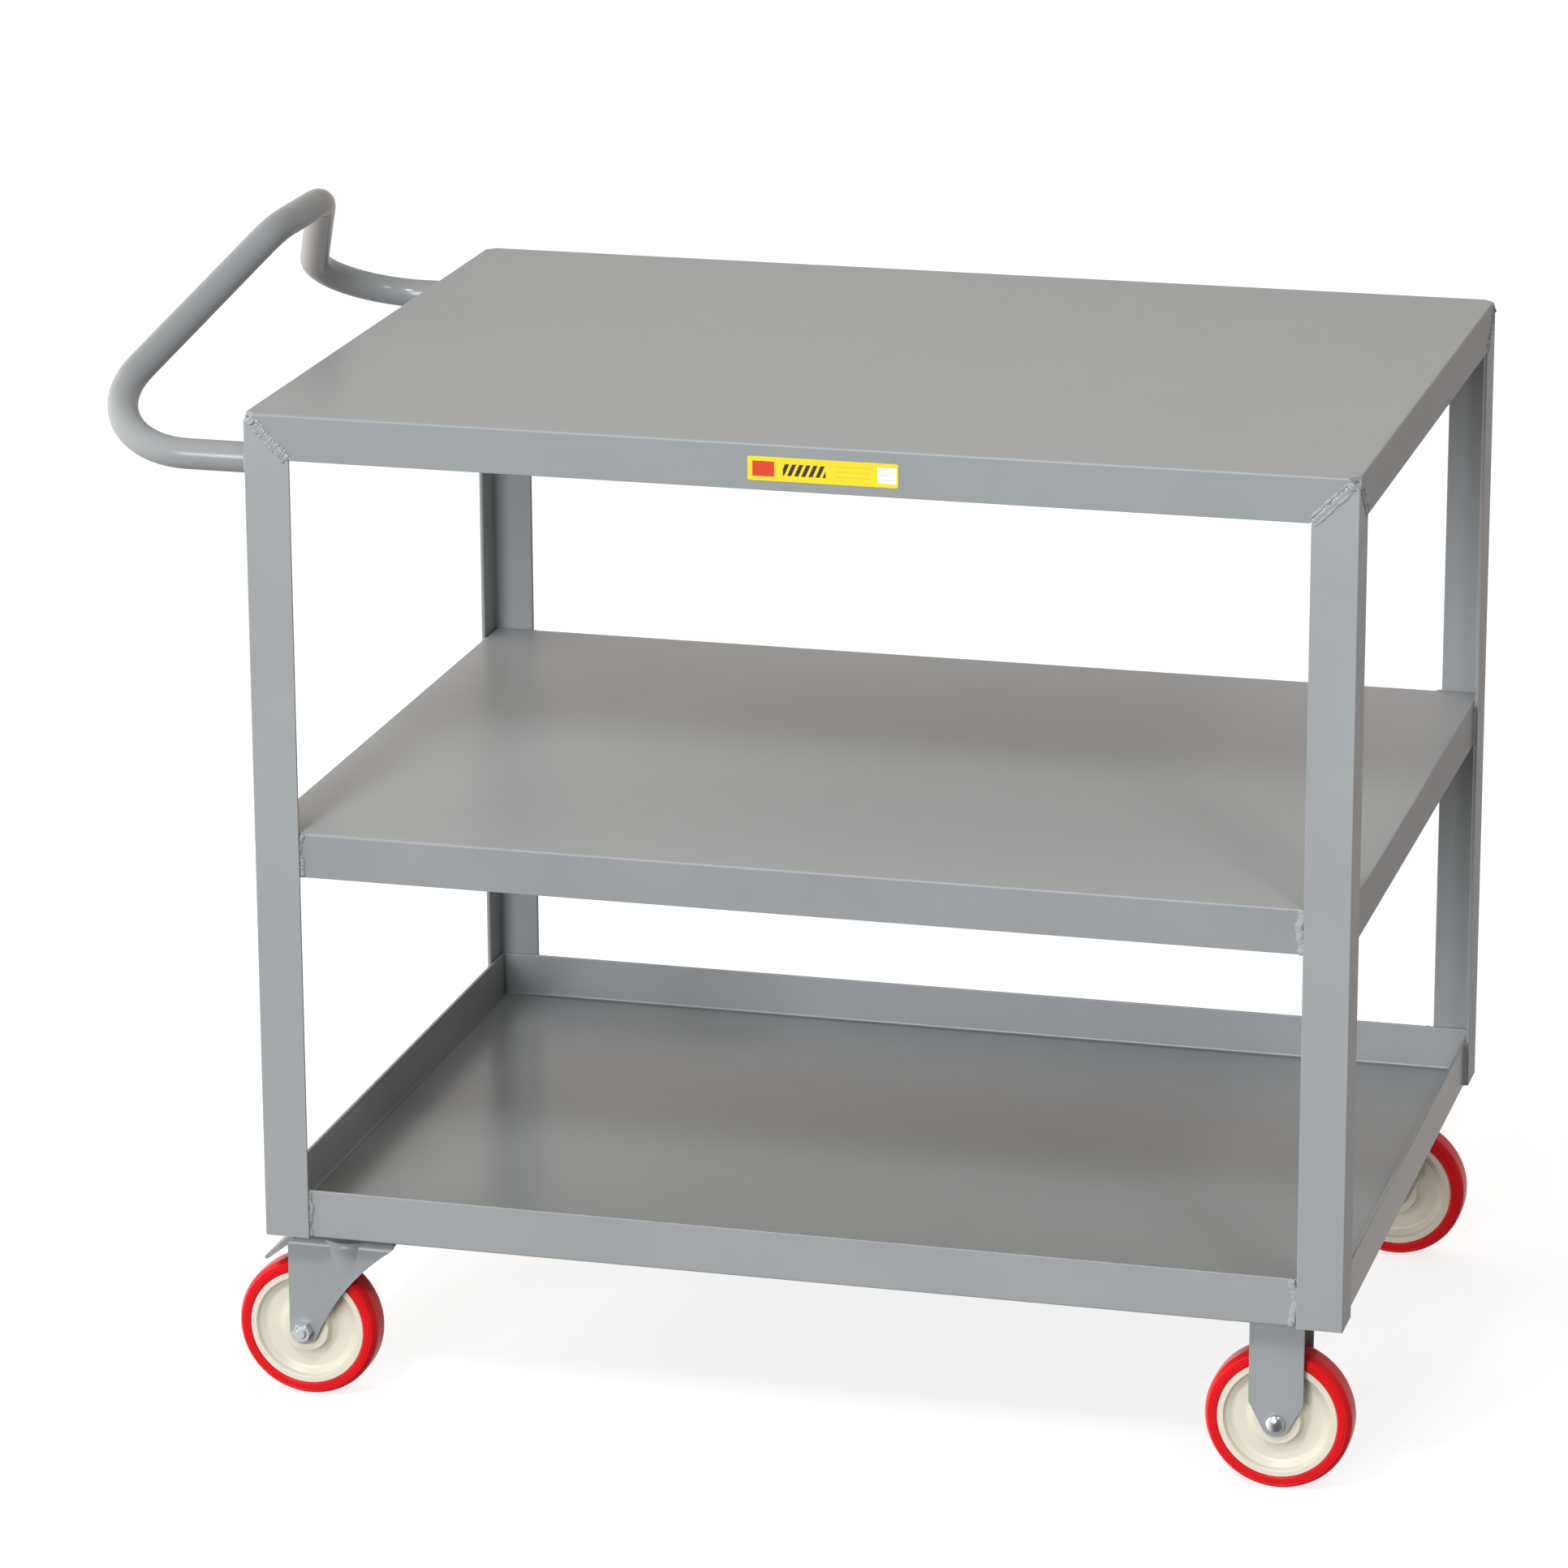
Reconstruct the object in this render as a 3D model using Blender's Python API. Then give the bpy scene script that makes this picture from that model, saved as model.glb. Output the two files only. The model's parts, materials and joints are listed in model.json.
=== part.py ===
"""A welded steel tool cart with three levels, a bent tube handle and four casters.

Two flush shelves with flanges turned down stand over a tray with lips turned up. Four angle-iron
posts hold them, mitred to the top shelf at its corners. A bent tube handle is welded to the rear
posts. Two swivel casters carry the handle end and two rigid casters the front end.

Metres, +Z up. The origin is on the floor under the middle of the whole cart. +X points from the
handle to the front, and the right side is -Y.
"""

import math

import bmesh
import bpy
from mathutils import Matrix, Vector

# Frame
DECK_LENGTH = 0.9144
DECK_WIDTH = 0.6604
DECK_HEIGHT = 0.8636
MIDDLE_HEIGHT = 0.5100
SHEET = 0.0027
SHELF_FLANGE = 0.0381
TRAY_LIP = 0.0413
POST_LEG = 0.0381
POST_THICKNESS = 0.0032
CORNER_CLIP = 0.0100

# Handle: one tube with two bends at each side
TUBE_RADIUS = 0.0127
TUBE_WALL = 0.0021
HANDLE_REACH = 0.1443
HANDLE_DROP = 0.0418
HANDLE_RISE = 0.1357
HANDLE_LEAN = 0.0996
GRIP_WIDTH = 0.1194
BEND_RADIUS = 0.0762

# Label on the right flange of the top shelf
LABEL_LENGTH = 0.1233
LABEL_HEIGHT = 0.0196
LABEL_DROP = 0.0105
LABEL_FORWARD = 0.0273
LABEL_THICKNESS = 0.0003

# Casters
CASTER_END_INSET = 0.0587
CASTER_SIDE_INSET = 0.0512
PLATE_LENGTH = 0.0920
PLATE_WIDTH = 0.0640
PLATE_THICKNESS = 0.0045
FORK_GAP = 0.0384
FORK_THICKNESS = 0.0032
FORK_BEND = 0.0060
RIGID_LEG_WIDTH = 0.0454
RIGID_TAPER_RISE = 0.0170
FORK_TIP_RADIUS = 0.0125
SWIVEL_LEAD = 0.0375
CROWN_FORWARD = 0.0425
CROWN_RADIUS = 0.0262
LEG_EDGE_HOLLOW = 0.0080
REAR_FLANGE_LENGTH = 0.0300
REAR_FLANGE_ROOT = 0.0040
WHEEL_TO_FLANGE = 0.0050
WHEEL_TO_CROWN = 0.0188

# Swivel bearing
BALL_DIAMETER = 0.0063
BALL_CIRCLE_RADIUS = 0.0185
LOWER_BALL_DIAMETER = 0.0040
LOWER_BALL_CIRCLE_RADIUS = 0.0125
RACE_RIM_WALL = 0.0022
RACE_RIM_DEPTH = 0.0034
LOWER_RACE_THICKNESS = 0.0025
KING_BOLT_RADIUS = 0.0048
KING_HEAD_RADIUS = 0.0095
KING_HEAD_DEPTH = 0.0034
KING_NUT_HEIGHT = 0.0060
KING_NUT_FLATS = 0.0165
KING_THREAD_PROUD = 0.0015

# Wheels
WHEEL_RADIUS = 0.06125
TREAD_WIDTH = 0.0310
TREAD_THICKNESS = 0.01125
TREAD_SHOULDER = 0.0048
TREAD_ROOT_DROP = 0.0004
TREAD_CORNER_IN = 0.0011
TREAD_CORNER_DROP = 0.0020
CORE_WIDTH = 0.0300
CORE_RIM = 0.0052
HUB_FILLET = 0.0030
RIM_FILLET = 0.0025
WEB_THICKNESS = 0.0150
HUB_RADIUS = 0.0200
HUB_SIDE_GAP = 0.0009
BUSHING_WALL = 0.0034
SLEEVE_WALL = 0.0024

# Axles
AXLE_RADIUS = 0.0047
AXLE_HEAD_RADIUS = 0.0080
AXLE_HEAD_HEIGHT = 0.0052
NUT_FLATS = 0.0143
NUT_HEIGHT = 0.0082
THREAD_PROUD = 0.0022
THREAD_CHAMFER = 0.0008

# Clearance between neighbouring pieces
GAP = 0.0003

# Step where two faces of one welded or bent piece would otherwise lie in the same plane
SEAM = 0.0002

# How far a cutting shape reaches past the face that it cuts
PAST = 0.0020

ROUND_STEPS = 24
TREAD_STEPS = 36
BOLT_STEPS = 12
TUBE_SIDES = 12
BEND_STEPS = 6

# Places that follow from the sizes above
DECK_X = HANDLE_REACH / 2
INSIDE_POST = POST_THICKNESS + GAP
CORE_RADIUS = WHEEL_RADIUS - TREAD_THICKNESS
FORK_HALF = FORK_GAP / 2 + FORK_THICKNESS
CROWN_UNDERSIDE = 2 * WHEEL_RADIUS + WHEEL_TO_CROWN
CROWN_TOP = CROWN_UNDERSIDE + FORK_THICKNESS
PLATE_UNDERSIDE = CROWN_TOP + BALL_DIAMETER + 2 * GAP
PLATE_TOP = PLATE_UNDERSIDE + PLATE_THICKNESS
CASTER_HEIGHT = PLATE_TOP + GAP
LOWER_RACE_TOP = CROWN_UNDERSIDE - LOWER_BALL_DIAMETER - 2 * GAP
LOWER_RACE_UNDERSIDE = LOWER_RACE_TOP - LOWER_RACE_THICKNESS
KING_NUT_TOP = LOWER_RACE_UNDERSIDE - GAP
KING_NUT_UNDERSIDE = KING_NUT_TOP - KING_NUT_HEIGHT
SLEEVE_RADIUS = AXLE_RADIUS + GAP + SLEEVE_WALL
BUSHING_RADIUS = SLEEVE_RADIUS + GAP + BUSHING_WALL
HUB_HALF = FORK_GAP / 2 - HUB_SIDE_GAP


def clear_scene():
    for obj in list(bpy.data.objects):
        bpy.data.objects.remove(obj, do_unlink=True)


def finish_material(name, colour, roughness, metallic):
    material = bpy.data.materials.new(name)
    material.use_nodes = True
    shader = material.node_tree.nodes["Principled BSDF"]
    shader.inputs["Base Color"].default_value = (*colour, 1.0)
    shader.inputs["Roughness"].default_value = roughness
    shader.inputs["Metallic"].default_value = metallic
    material.diffuse_color = (*colour, 1.0)
    return material


def make_materials():
    return {
        "paint": finish_material("grey_enamel", (0.36, 0.385, 0.395), 0.38, 0.0),
        "zinc": finish_material("zinc_plate", (0.62, 0.64, 0.66), 0.30, 1.0),
        "steel": finish_material("bearing_steel", (0.45, 0.45, 0.46), 0.25, 1.0),
        "tread": finish_material("red_polyurethane", (0.78, 0.035, 0.030), 0.28, 0.0),
        "core": finish_material("cream_polyolefin", (0.76, 0.73, 0.60), 0.45, 0.0),
        "bushing": finish_material("white_nylon", (0.80, 0.80, 0.77), 0.50, 0.0),
        "label": finish_material("yellow_film", (0.90, 0.78, 0.06), 0.35, 0.0),
    }


# Mesh helpers


def add_object(name, mesh, material, place=(0, 0, 0), parent=None, smooth=False):
    obj = bpy.data.objects.new(name, mesh)
    bpy.context.scene.collection.objects.link(obj)
    obj.location = place
    if parent is not None:
        obj.parent = parent
        obj.location = Vector(place) - parent.location
        if parent.parent is not None:
            obj.location -= parent.parent.location
    mesh.materials.clear()
    mesh.materials.append(material)
    if smooth:
        mesh.shade_smooth()
        mesh.set_sharp_from_angle(angle=math.radians(35))
    return obj


def add_axis(name, place, parent=None):
    axis = bpy.data.objects.new(name, None)
    bpy.context.scene.collection.objects.link(axis)
    axis.empty_display_size = 0.05
    axis.location = place
    if parent is not None:
        axis.parent = parent
        axis.location = Vector(place) - parent.location
    return axis


def to_mesh(bm, name):
    bmesh.ops.recalc_face_normals(bm, faces=bm.faces)
    if bm.calc_volume(signed=True) < 0:
        bmesh.ops.reverse_faces(bm, faces=bm.faces)
    mesh = bpy.data.meshes.new(name)
    bm.to_mesh(mesh)
    bm.free()
    return mesh


def box(low, high):
    bm = bmesh.new()
    bmesh.ops.create_cube(bm, size=1.0)
    centre = (Vector(low) + Vector(high)) / 2
    size = Vector(high) - Vector(low)
    for vert in bm.verts:
        vert.co = Vector(a * b + c for a, b, c in zip(vert.co, size, centre))
    return bm


def prism(outline, near, far, plane):
    """The outline extruded from near to far. plane "XZ" extrudes along Y, "YZ" along X, "XY" along Z."""
    place = {
        "XZ": lambda a, b, depth: (a, depth, b),
        "YZ": lambda a, b, depth: (depth, a, b),
        "XY": lambda a, b, depth: (a, b, depth),
    }[plane]
    bm = bmesh.new()
    near_ring = [bm.verts.new(place(a, b, near)) for a, b in outline]
    far_ring = [bm.verts.new(place(a, b, far)) for a, b in outline]
    bm.faces.new(near_ring)
    bm.faces.new(reversed(far_ring))
    for i in range(len(outline)):
        j = (i + 1) % len(outline)
        bm.faces.new((near_ring[i], far_ring[i], far_ring[j], near_ring[j]))
    return bm


def turned(profile, steps, ring=False, axis="Z"):
    """A profile of (radius, height) points turned round an axis.

    A ring's profile is a closed loop. Any other starts and ends on the axis.
    """
    bm = bmesh.new()
    rows = []
    for radius, height in profile:
        if radius == 0:
            rows.append([bm.verts.new((0, 0, height))] * steps)
            continue
        turns = (2 * math.pi * i / steps for i in range(steps))
        rows.append([bm.verts.new((radius * math.cos(t), radius * math.sin(t), height)) for t in turns])
    pairs = list(zip(rows, rows[1:]))
    if ring:
        pairs.append((rows[-1], rows[0]))
    for row, next_row in pairs:
        for i in range(steps):
            j = (i + 1) % steps
            corners = dict.fromkeys((row[i], row[j], next_row[j], next_row[i]))
            bm.faces.new(tuple(corners))
    if axis == "Y":
        bmesh.ops.rotate(bm, verts=bm.verts, matrix=Matrix.Rotation(math.radians(90), 3, "X"))
    return bm


def hex_nut(flats, height, bore_radius, base, axis="Z"):
    """A hexagonal nut with a round bore, standing on base along its axis."""
    bm = bmesh.new()
    loops = []
    for outer, level in ((False, base), (True, base), (True, base + height), (False, base + height)):
        loop = []
        for i in range(BOLT_STEPS):
            turn = 2 * math.pi * i / BOLT_STEPS
            from_flat = (turn + math.pi / 6) % (math.pi / 3) - math.pi / 6
            radius = flats / 2 / math.cos(from_flat) if outer else bore_radius
            loop.append(bm.verts.new((radius * math.cos(turn), radius * math.sin(turn), level)))
        loops.append(loop)
    for loop, next_loop in zip(loops, loops[1:] + loops[:1]):
        for i in range(BOLT_STEPS):
            j = (i + 1) % BOLT_STEPS
            bm.faces.new((loop[i], loop[j], next_loop[j], next_loop[i]))
    if axis == "Y":
        bmesh.ops.rotate(bm, verts=bm.verts, matrix=Matrix.Rotation(math.radians(90), 3, "X"))
    return bm


def cut_off(bm, point, normal):
    """Removes what lies past the plane, on the side its normal points to, and closes the cut."""
    everything = list(bm.verts) + list(bm.edges) + list(bm.faces)
    cut = bmesh.ops.bisect_plane(
        bm, geom=everything, dist=1e-7, plane_co=point, plane_no=normal, clear_outer=True
    )
    edges = [part for part in cut["geom_cut"] if isinstance(part, bmesh.types.BMEdge)]
    bmesh.ops.triangle_fill(bm, use_beauty=True, edges=edges)


def boolean(obj, bm, operation):
    """Adds a Boolean with a hidden helper made from bm."""
    mesh = to_mesh(bm, f"{obj.name}_{operation.lower()}_shape")
    helper = bpy.data.objects.new(mesh.name, mesh)
    bpy.context.scene.collection.objects.link(helper)
    helper.parent = obj
    helper.hide_render = True
    helper.display_type = "WIRE"
    modifier = obj.modifiers.new(f"{operation.lower()}_{len(obj.modifiers)}", "BOOLEAN")
    modifier.operation = operation
    modifier.solver = "EXACT"
    modifier.object = helper


def arc_points(centre, radius, start, end, steps):
    """Points on an arc, with both its ends, in degrees."""
    turns = (math.radians(start + (end - start) * i / steps) for i in range(steps + 1))
    return [(centre[0] + radius * math.cos(t), centre[1] + radius * math.sin(t)) for t in turns]


def hollow_edge(start, end, depth, steps):
    """Points between start and end on an edge that is hollowed to the left of its direction."""
    along = Vector(end) - Vector(start)
    left = Vector((-along.y, along.x)).normalized()
    points = []
    for i in range(1, steps):
        share = i / steps
        points.append(tuple(Vector(start) + along * share + left * depth * 4 * share * (1 - share)))
    return points


# Frame


def folded_pan(length, width, depth, opens_down):
    """A sheet with four flanges, centred on the deck, its flat face at zero and its flanges open-ended."""
    bm = box((DECK_X - length / 2, -width / 2, 0), (DECK_X + length / 2, width / 2, depth))
    bm.faces.ensure_lookup_table()
    mouth = max(bm.faces, key=lambda face: face.calc_center_median().z)
    bmesh.ops.inset_individual(bm, faces=[mouth], thickness=SHEET, use_even_offset=True)
    mouth = max(bm.faces, key=lambda face: (round(face.calc_center_median().z, 6), face.calc_area()))
    floor = bmesh.ops.extrude_discrete_faces(bm, faces=[mouth])["faces"]
    for vert in floor[0].verts:
        vert.co.z = SHEET
    if opens_down:
        for vert in bm.verts:
            vert.co.z = -vert.co.z
    return bm


def corner_signs():
    """The four deck corners: name, sign along X, sign along Y."""
    return (
        ("front_left", 1, 1),
        ("front_right", 1, -1),
        ("rear_left", -1, 1),
        ("rear_right", -1, -1),
    )


def deck_corner(sx, sy):
    return Vector((DECK_X + sx * DECK_LENGTH / 2, sy * DECK_WIDTH / 2, DECK_HEIGHT))


def clip_corner(bm, sx, sy):
    """Grinds the sharp top corner off."""
    point = deck_corner(sx, sy) - Vector((0, 0, CORNER_CLIP))
    cut_off(bm, point, Vector((sx, sy, 1)).normalized())


def mitre_notch(sx, sy):
    """The room that a mitred post needs at a corner of the top shelf: a pyramid under its corner."""
    tip = deck_corner(sx, sy) + Vector((0, 0, GAP * math.sqrt(2)))
    fall = SHELF_FLANGE + PAST
    base = tip.z - fall
    outer_x, outer_y = tip.x + sx * PAST, tip.y + sy * PAST
    inner_x, inner_y = tip.x - sx * fall, tip.y - sy * fall
    bm = bmesh.new()
    apex = bm.verts.new((outer_x, outer_y, tip.z + PAST))
    corners = ((outer_x, outer_y), (inner_x, outer_y), (inner_x, inner_y), (outer_x, inner_y))
    ring = [bm.verts.new((x, y, base)) for x, y in corners]
    bm.faces.new(ring)
    for i in range(4):
        bm.faces.new((ring[i], ring[(i + 1) % 4], apex))
    return bm


def make_top_shelf(paint):
    bm = folded_pan(DECK_LENGTH, DECK_WIDTH, SHELF_FLANGE, opens_down=True)
    bmesh.ops.translate(bm, verts=bm.verts, vec=(0, 0, DECK_HEIGHT))
    for _, sx, sy in corner_signs():
        clip_corner(bm, sx, sy)
    shelf = add_object("top_shelf", to_mesh(bm, "top_shelf"), paint)
    for _, sx, sy in corner_signs():
        boolean(shelf, mitre_notch(sx, sy), "DIFFERENCE")


def make_inner_levels(paint):
    length = DECK_LENGTH - 2 * INSIDE_POST
    width = DECK_WIDTH - 2 * INSIDE_POST
    shelf = folded_pan(length, width, SHELF_FLANGE, opens_down=True)
    add_object("middle_shelf", to_mesh(shelf, "middle_shelf"), paint, (0, 0, MIDDLE_HEIGHT))
    tray = folded_pan(length, width, TRAY_LIP, opens_down=False)
    add_object("bottom_tray", to_mesh(tray, "bottom_tray"), paint, (0, 0, CASTER_HEIGHT))


def make_posts(paint):
    for name, sx, sy in corner_signs():
        corner = deck_corner(sx, sy)
        section = [
            (0, 0),
            (POST_LEG, 0),
            (POST_LEG, POST_THICKNESS),
            (POST_THICKNESS, POST_THICKNESS),
            (POST_THICKNESS, POST_LEG),
            (0, POST_LEG),
        ]
        outline = [(corner.x - sx * along, corner.y - sy * across) for along, across in section]
        bm = prism(outline, CASTER_HEIGHT, DECK_HEIGHT + CORNER_CLIP, "XY")
        bmesh.ops.recalc_face_normals(bm, faces=bm.faces)
        cut_off(bm, corner, Vector((-sx, 0, 1)).normalized())
        cut_off(bm, corner, Vector((0, -sy, 1)).normalized())
        clip_corner(bm, sx, sy)
        add_object(f"post_{name}", to_mesh(bm, f"post_{name}"), paint)


# Handle


def handle_corners():
    """The corners of the handle's centre line, from the right post round to the left one."""
    arm_y = DECK_WIDTH / 2 - POST_LEG / 2
    arm_z = DECK_HEIGHT - HANDLE_DROP
    rear_face = DECK_X - DECK_LENGTH / 2
    riser = Vector((HANDLE_LEAN, arm_y - GRIP_WIDTH / 2, HANDLE_RISE)).normalized()
    half_turn = math.acos(-riser.x) / 2
    outermost = rear_face - HANDLE_REACH + TUBE_RADIUS
    bend_x = outermost + BEND_RADIUS - BEND_RADIUS * math.tan(half_turn)
    grip_x = bend_x + HANDLE_LEAN
    grip_z = arm_z + HANDLE_RISE
    return [
        Vector((rear_face - GAP, -arm_y, arm_z)),
        Vector((bend_x, -arm_y, arm_z)),
        Vector((grip_x, -GRIP_WIDTH / 2, grip_z)),
        Vector((grip_x, GRIP_WIDTH / 2, grip_z)),
        Vector((bend_x, arm_y, arm_z)),
        Vector((rear_face - GAP, arm_y, arm_z)),
    ]


def bent_path(corners, radius, steps):
    """The corners joined by straight runs, with each inner corner rounded to the radius."""
    path = [corners[0]]
    for before, corner, after in zip(corners, corners[1:], corners[2:]):
        arriving = (corner - before).normalized()
        leaving = (after - corner).normalized()
        turn = arriving.angle(leaving)
        start = corner - arriving * radius * math.tan(turn / 2)
        inward = (leaving - arriving * leaving.dot(arriving)).normalized()
        for i in range(steps + 1):
            angle = turn * i / steps
            path.append(start + arriving * radius * math.sin(angle) + inward * radius * (1 - math.cos(angle)))
    path.append(corners[-1])
    return path


def make_handle(paint):
    path = bent_path(handle_corners(), BEND_RADIUS, BEND_STEPS)
    bm = bmesh.new()
    outer_rings, inner_rings = [], []
    across = Vector((0, 0, 1))
    for i, point in enumerate(path):
        arriving = (point - path[max(i - 1, 0)]).normalized()
        leaving = (path[min(i + 1, len(path) - 1)] - point).normalized()
        along = (arriving + leaving).normalized()
        across = (across - along * across.dot(along)).normalized()
        side = along.cross(across)
        outer, inner = [], []
        for k in range(TUBE_SIDES):
            turn = 2 * math.pi * k / TUBE_SIDES
            spoke = across * math.cos(turn) + side * math.sin(turn)
            outer.append(bm.verts.new(point + spoke * TUBE_RADIUS))
            inner.append(bm.verts.new(point + spoke * (TUBE_RADIUS - TUBE_WALL)))
        outer_rings.append(outer)
        inner_rings.append(inner)
    loops = outer_rings + inner_rings[::-1]
    for ring, next_ring in zip(loops, loops[1:] + loops[:1]):
        for k in range(TUBE_SIDES):
            n = (k + 1) % TUBE_SIDES
            bm.faces.new((ring[k], ring[n], next_ring[n], next_ring[k]))
    add_object("push_handle", to_mesh(bm, "push_handle"), paint, smooth=True)


def make_label(film):
    middle = DECK_X + LABEL_FORWARD
    top = DECK_HEIGHT - LABEL_DROP
    face = -DECK_WIDTH / 2 - GAP
    low = (middle - LABEL_LENGTH / 2, face - LABEL_THICKNESS, top - LABEL_HEIGHT)
    high = (middle + LABEL_LENGTH / 2, face, top)
    add_object("rim_label", to_mesh(box(low, high), "rim_label"), film)


# Wheels and axles


def mirrored_profile(half):
    """A closed profile from the points of its upper half, from the bore outwards."""
    return half + [(radius, -height) for radius, height in reversed(half)]


def core_profile():
    web = WEB_THICKNESS / 2
    rim_inside = CORE_RADIUS - CORE_RIM
    return mirrored_profile(
        [
            (BUSHING_RADIUS + GAP, HUB_HALF),
            (HUB_RADIUS, HUB_HALF),
            (HUB_RADIUS + HUB_FILLET / 2, web + HUB_FILLET),
            (HUB_RADIUS + HUB_FILLET * 5 / 3, web),
            (rim_inside - RIM_FILLET * 2.4, web),
            (rim_inside - RIM_FILLET * 0.6, web + RIM_FILLET),
            (rim_inside, CORE_WIDTH / 2),
            (CORE_RADIUS, CORE_WIDTH / 2),
        ]
    )


def tread_profile():
    half = TREAD_WIDTH / 2
    return mirrored_profile(
        [
            (CORE_RADIUS + GAP, half - TREAD_ROOT_DROP),
            (WHEEL_RADIUS - TREAD_SHOULDER, half),
            (WHEEL_RADIUS - TREAD_CORNER_IN, half - TREAD_CORNER_DROP),
            (WHEEL_RADIUS, half - TREAD_SHOULDER),
        ]
    )


def tube_profile(inner, outer, half):
    return [(inner, -half), (outer, -half), (outer, half), (inner, half)]


def make_wheel_meshes():
    half = FORK_GAP / 2 - GAP
    sleeve_bore = AXLE_RADIUS + GAP
    bushing_bore = SLEEVE_RADIUS + GAP
    bodies = {
        "wheel_core": turned(core_profile(), ROUND_STEPS, ring=True, axis="Y"),
        "wheel_tread": turned(tread_profile(), TREAD_STEPS, ring=True, axis="Y"),
        "hub_bushing": turned(tube_profile(bushing_bore, BUSHING_RADIUS, HUB_HALF), 16, True, "Y"),
        "axle_sleeve": turned(tube_profile(sleeve_bore, SLEEVE_RADIUS, half), 16, True, "Y"),
    }
    return {name: to_mesh(bm, name) for name, bm in bodies.items()}


def make_axle_bolt_mesh():
    """A bolt along Y with a domed head against the fork at -Y and its thread past the nut at +Y."""
    seat = FORK_HALF + GAP
    end = FORK_HALF + 2 * GAP + NUT_HEIGHT + THREAD_PROUD
    profile = [
        (0, -seat - AXLE_HEAD_HEIGHT),
        (AXLE_HEAD_RADIUS * 0.55, -seat - AXLE_HEAD_HEIGHT * 0.83),
        (AXLE_HEAD_RADIUS * 0.90, -seat - AXLE_HEAD_HEIGHT * 0.44),
        (AXLE_HEAD_RADIUS, -seat),
        (AXLE_RADIUS, -seat),
        (AXLE_RADIUS, end - THREAD_CHAMFER),
        (AXLE_RADIUS - THREAD_CHAMFER, end),
        (0, end),
    ]
    bm = turned([(radius, -along) for radius, along in profile], BOLT_STEPS, axis="Y")
    return to_mesh(bm, "axle_bolt")


def make_axle_nut_mesh():
    base = -(FORK_HALF + GAP) - NUT_HEIGHT
    return to_mesh(hex_nut(NUT_FLATS, NUT_HEIGHT, AXLE_RADIUS + GAP, base, "Y"), "axle_nut")


# Casters


def channel_profile(crown):
    """Section of a fork bent from one sheet: two legs joined over the wheel, in Y and Z from the axle."""
    outer_bend = FORK_HALF - FORK_BEND
    inner_radius = FORK_BEND - FORK_THICKNESS
    foot = -FORK_TIP_RADIUS - PAST
    bend_centre = (outer_bend, crown - FORK_BEND)
    outer = arc_points(bend_centre, FORK_BEND, 0, 90, 4)
    inner = arc_points(bend_centre, inner_radius, 90, 0, 3)
    right = [(FORK_HALF, foot)] + outer
    left = [(-y, z) for y, z in reversed(right)]
    inside_left = [(-y, z) for y, z in reversed(inner)]
    inside = [(-FORK_GAP / 2, foot)] + inside_left + inner + [(FORK_GAP / 2, foot)]
    return right + left + inside


def axle_bore():
    return turned(
        [(0, -2 * FORK_HALF), (AXLE_RADIUS + GAP, -2 * FORK_HALF), (AXLE_RADIUS + GAP, 2 * FORK_HALF)]
        + [(0, 2 * FORK_HALF)],
        BOLT_STEPS,
        axis="Y",
    )


def rigid_outline(crown):
    """Side view of a rigid leg from the axle: straight, then tapering to a round tip."""
    half = RIGID_LEG_WIDTH / 2
    tip = arc_points((0, 0), FORK_TIP_RADIUS, -155, -25, 6)
    return [(-half, crown), (-half, RIGID_TAPER_RISE)] + tip + [(half, RIGID_TAPER_RISE), (half, crown)]


def swivel_outline(crown):
    """Side view of a swivel leg from the axle: upright at the rear, its front edge swept up to the crown."""
    tip = arc_points((0, 0), FORK_TIP_RADIUS, -180, -30, 7)
    front = (SWIVEL_LEAD + CROWN_FORWARD, crown - FORK_BEND)
    sweep = hollow_edge(tip[-1], front, LEG_EDGE_HOLLOW, 5)
    return [(-FORK_TIP_RADIUS, crown)] + tip + sweep + [front, (front[0], crown)]


def rear_flange_outline(crown):
    """A straight flange from the crown's rear edge, sloping down and clear of the wheel."""
    outer_radius = WHEEL_RADIUS + WHEEL_TO_FLANGE + FORK_THICKNESS
    root = Vector((-FORK_TIP_RADIUS + SEAM, crown - SEAM))
    facing = math.atan2(root.y, root.x) + math.acos(outer_radius / root.length)
    down = Vector((-math.sin(facing), math.cos(facing)))
    inward = -Vector((math.cos(facing), math.sin(facing))) * FORK_THICKNESS
    inside_crown = Vector((REAR_FLANGE_ROOT, 0))
    tip = root + down * REAR_FLANGE_LENGTH
    return [tuple(p) for p in (root, root + inside_crown, root + inside_crown + inward, tip + inward, tip)]


def fork_channel(name, outline, crown, material, place, parent=None):
    """A bent channel trimmed to its side outline, with its origin on the axle."""
    reach = max(abs(x) for x, _ in outline) + PAST
    mesh = to_mesh(prism(channel_profile(crown), -reach, reach, "YZ"), name)
    fork = add_object(name, mesh, material, place, parent)
    boolean(fork, prism(outline, -2 * FORK_HALF, 2 * FORK_HALF, "XZ"), "INTERSECT")
    return fork


def make_rigid_fork(name, place, paint):
    """A fork whose crown is its mounting plate, welded under the tray."""
    top = PLATE_TOP - WHEEL_RADIUS
    crown = top - SEAM
    fork = fork_channel(name, rigid_outline(crown), crown, paint, place)
    low = (-PLATE_LENGTH / 2, -PLATE_WIDTH / 2, top - PLATE_THICKNESS)
    boolean(fork, box(low, (PLATE_LENGTH / 2, PLATE_WIDTH / 2, top)), "UNION")
    boolean(fork, axle_bore(), "DIFFERENCE")


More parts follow.
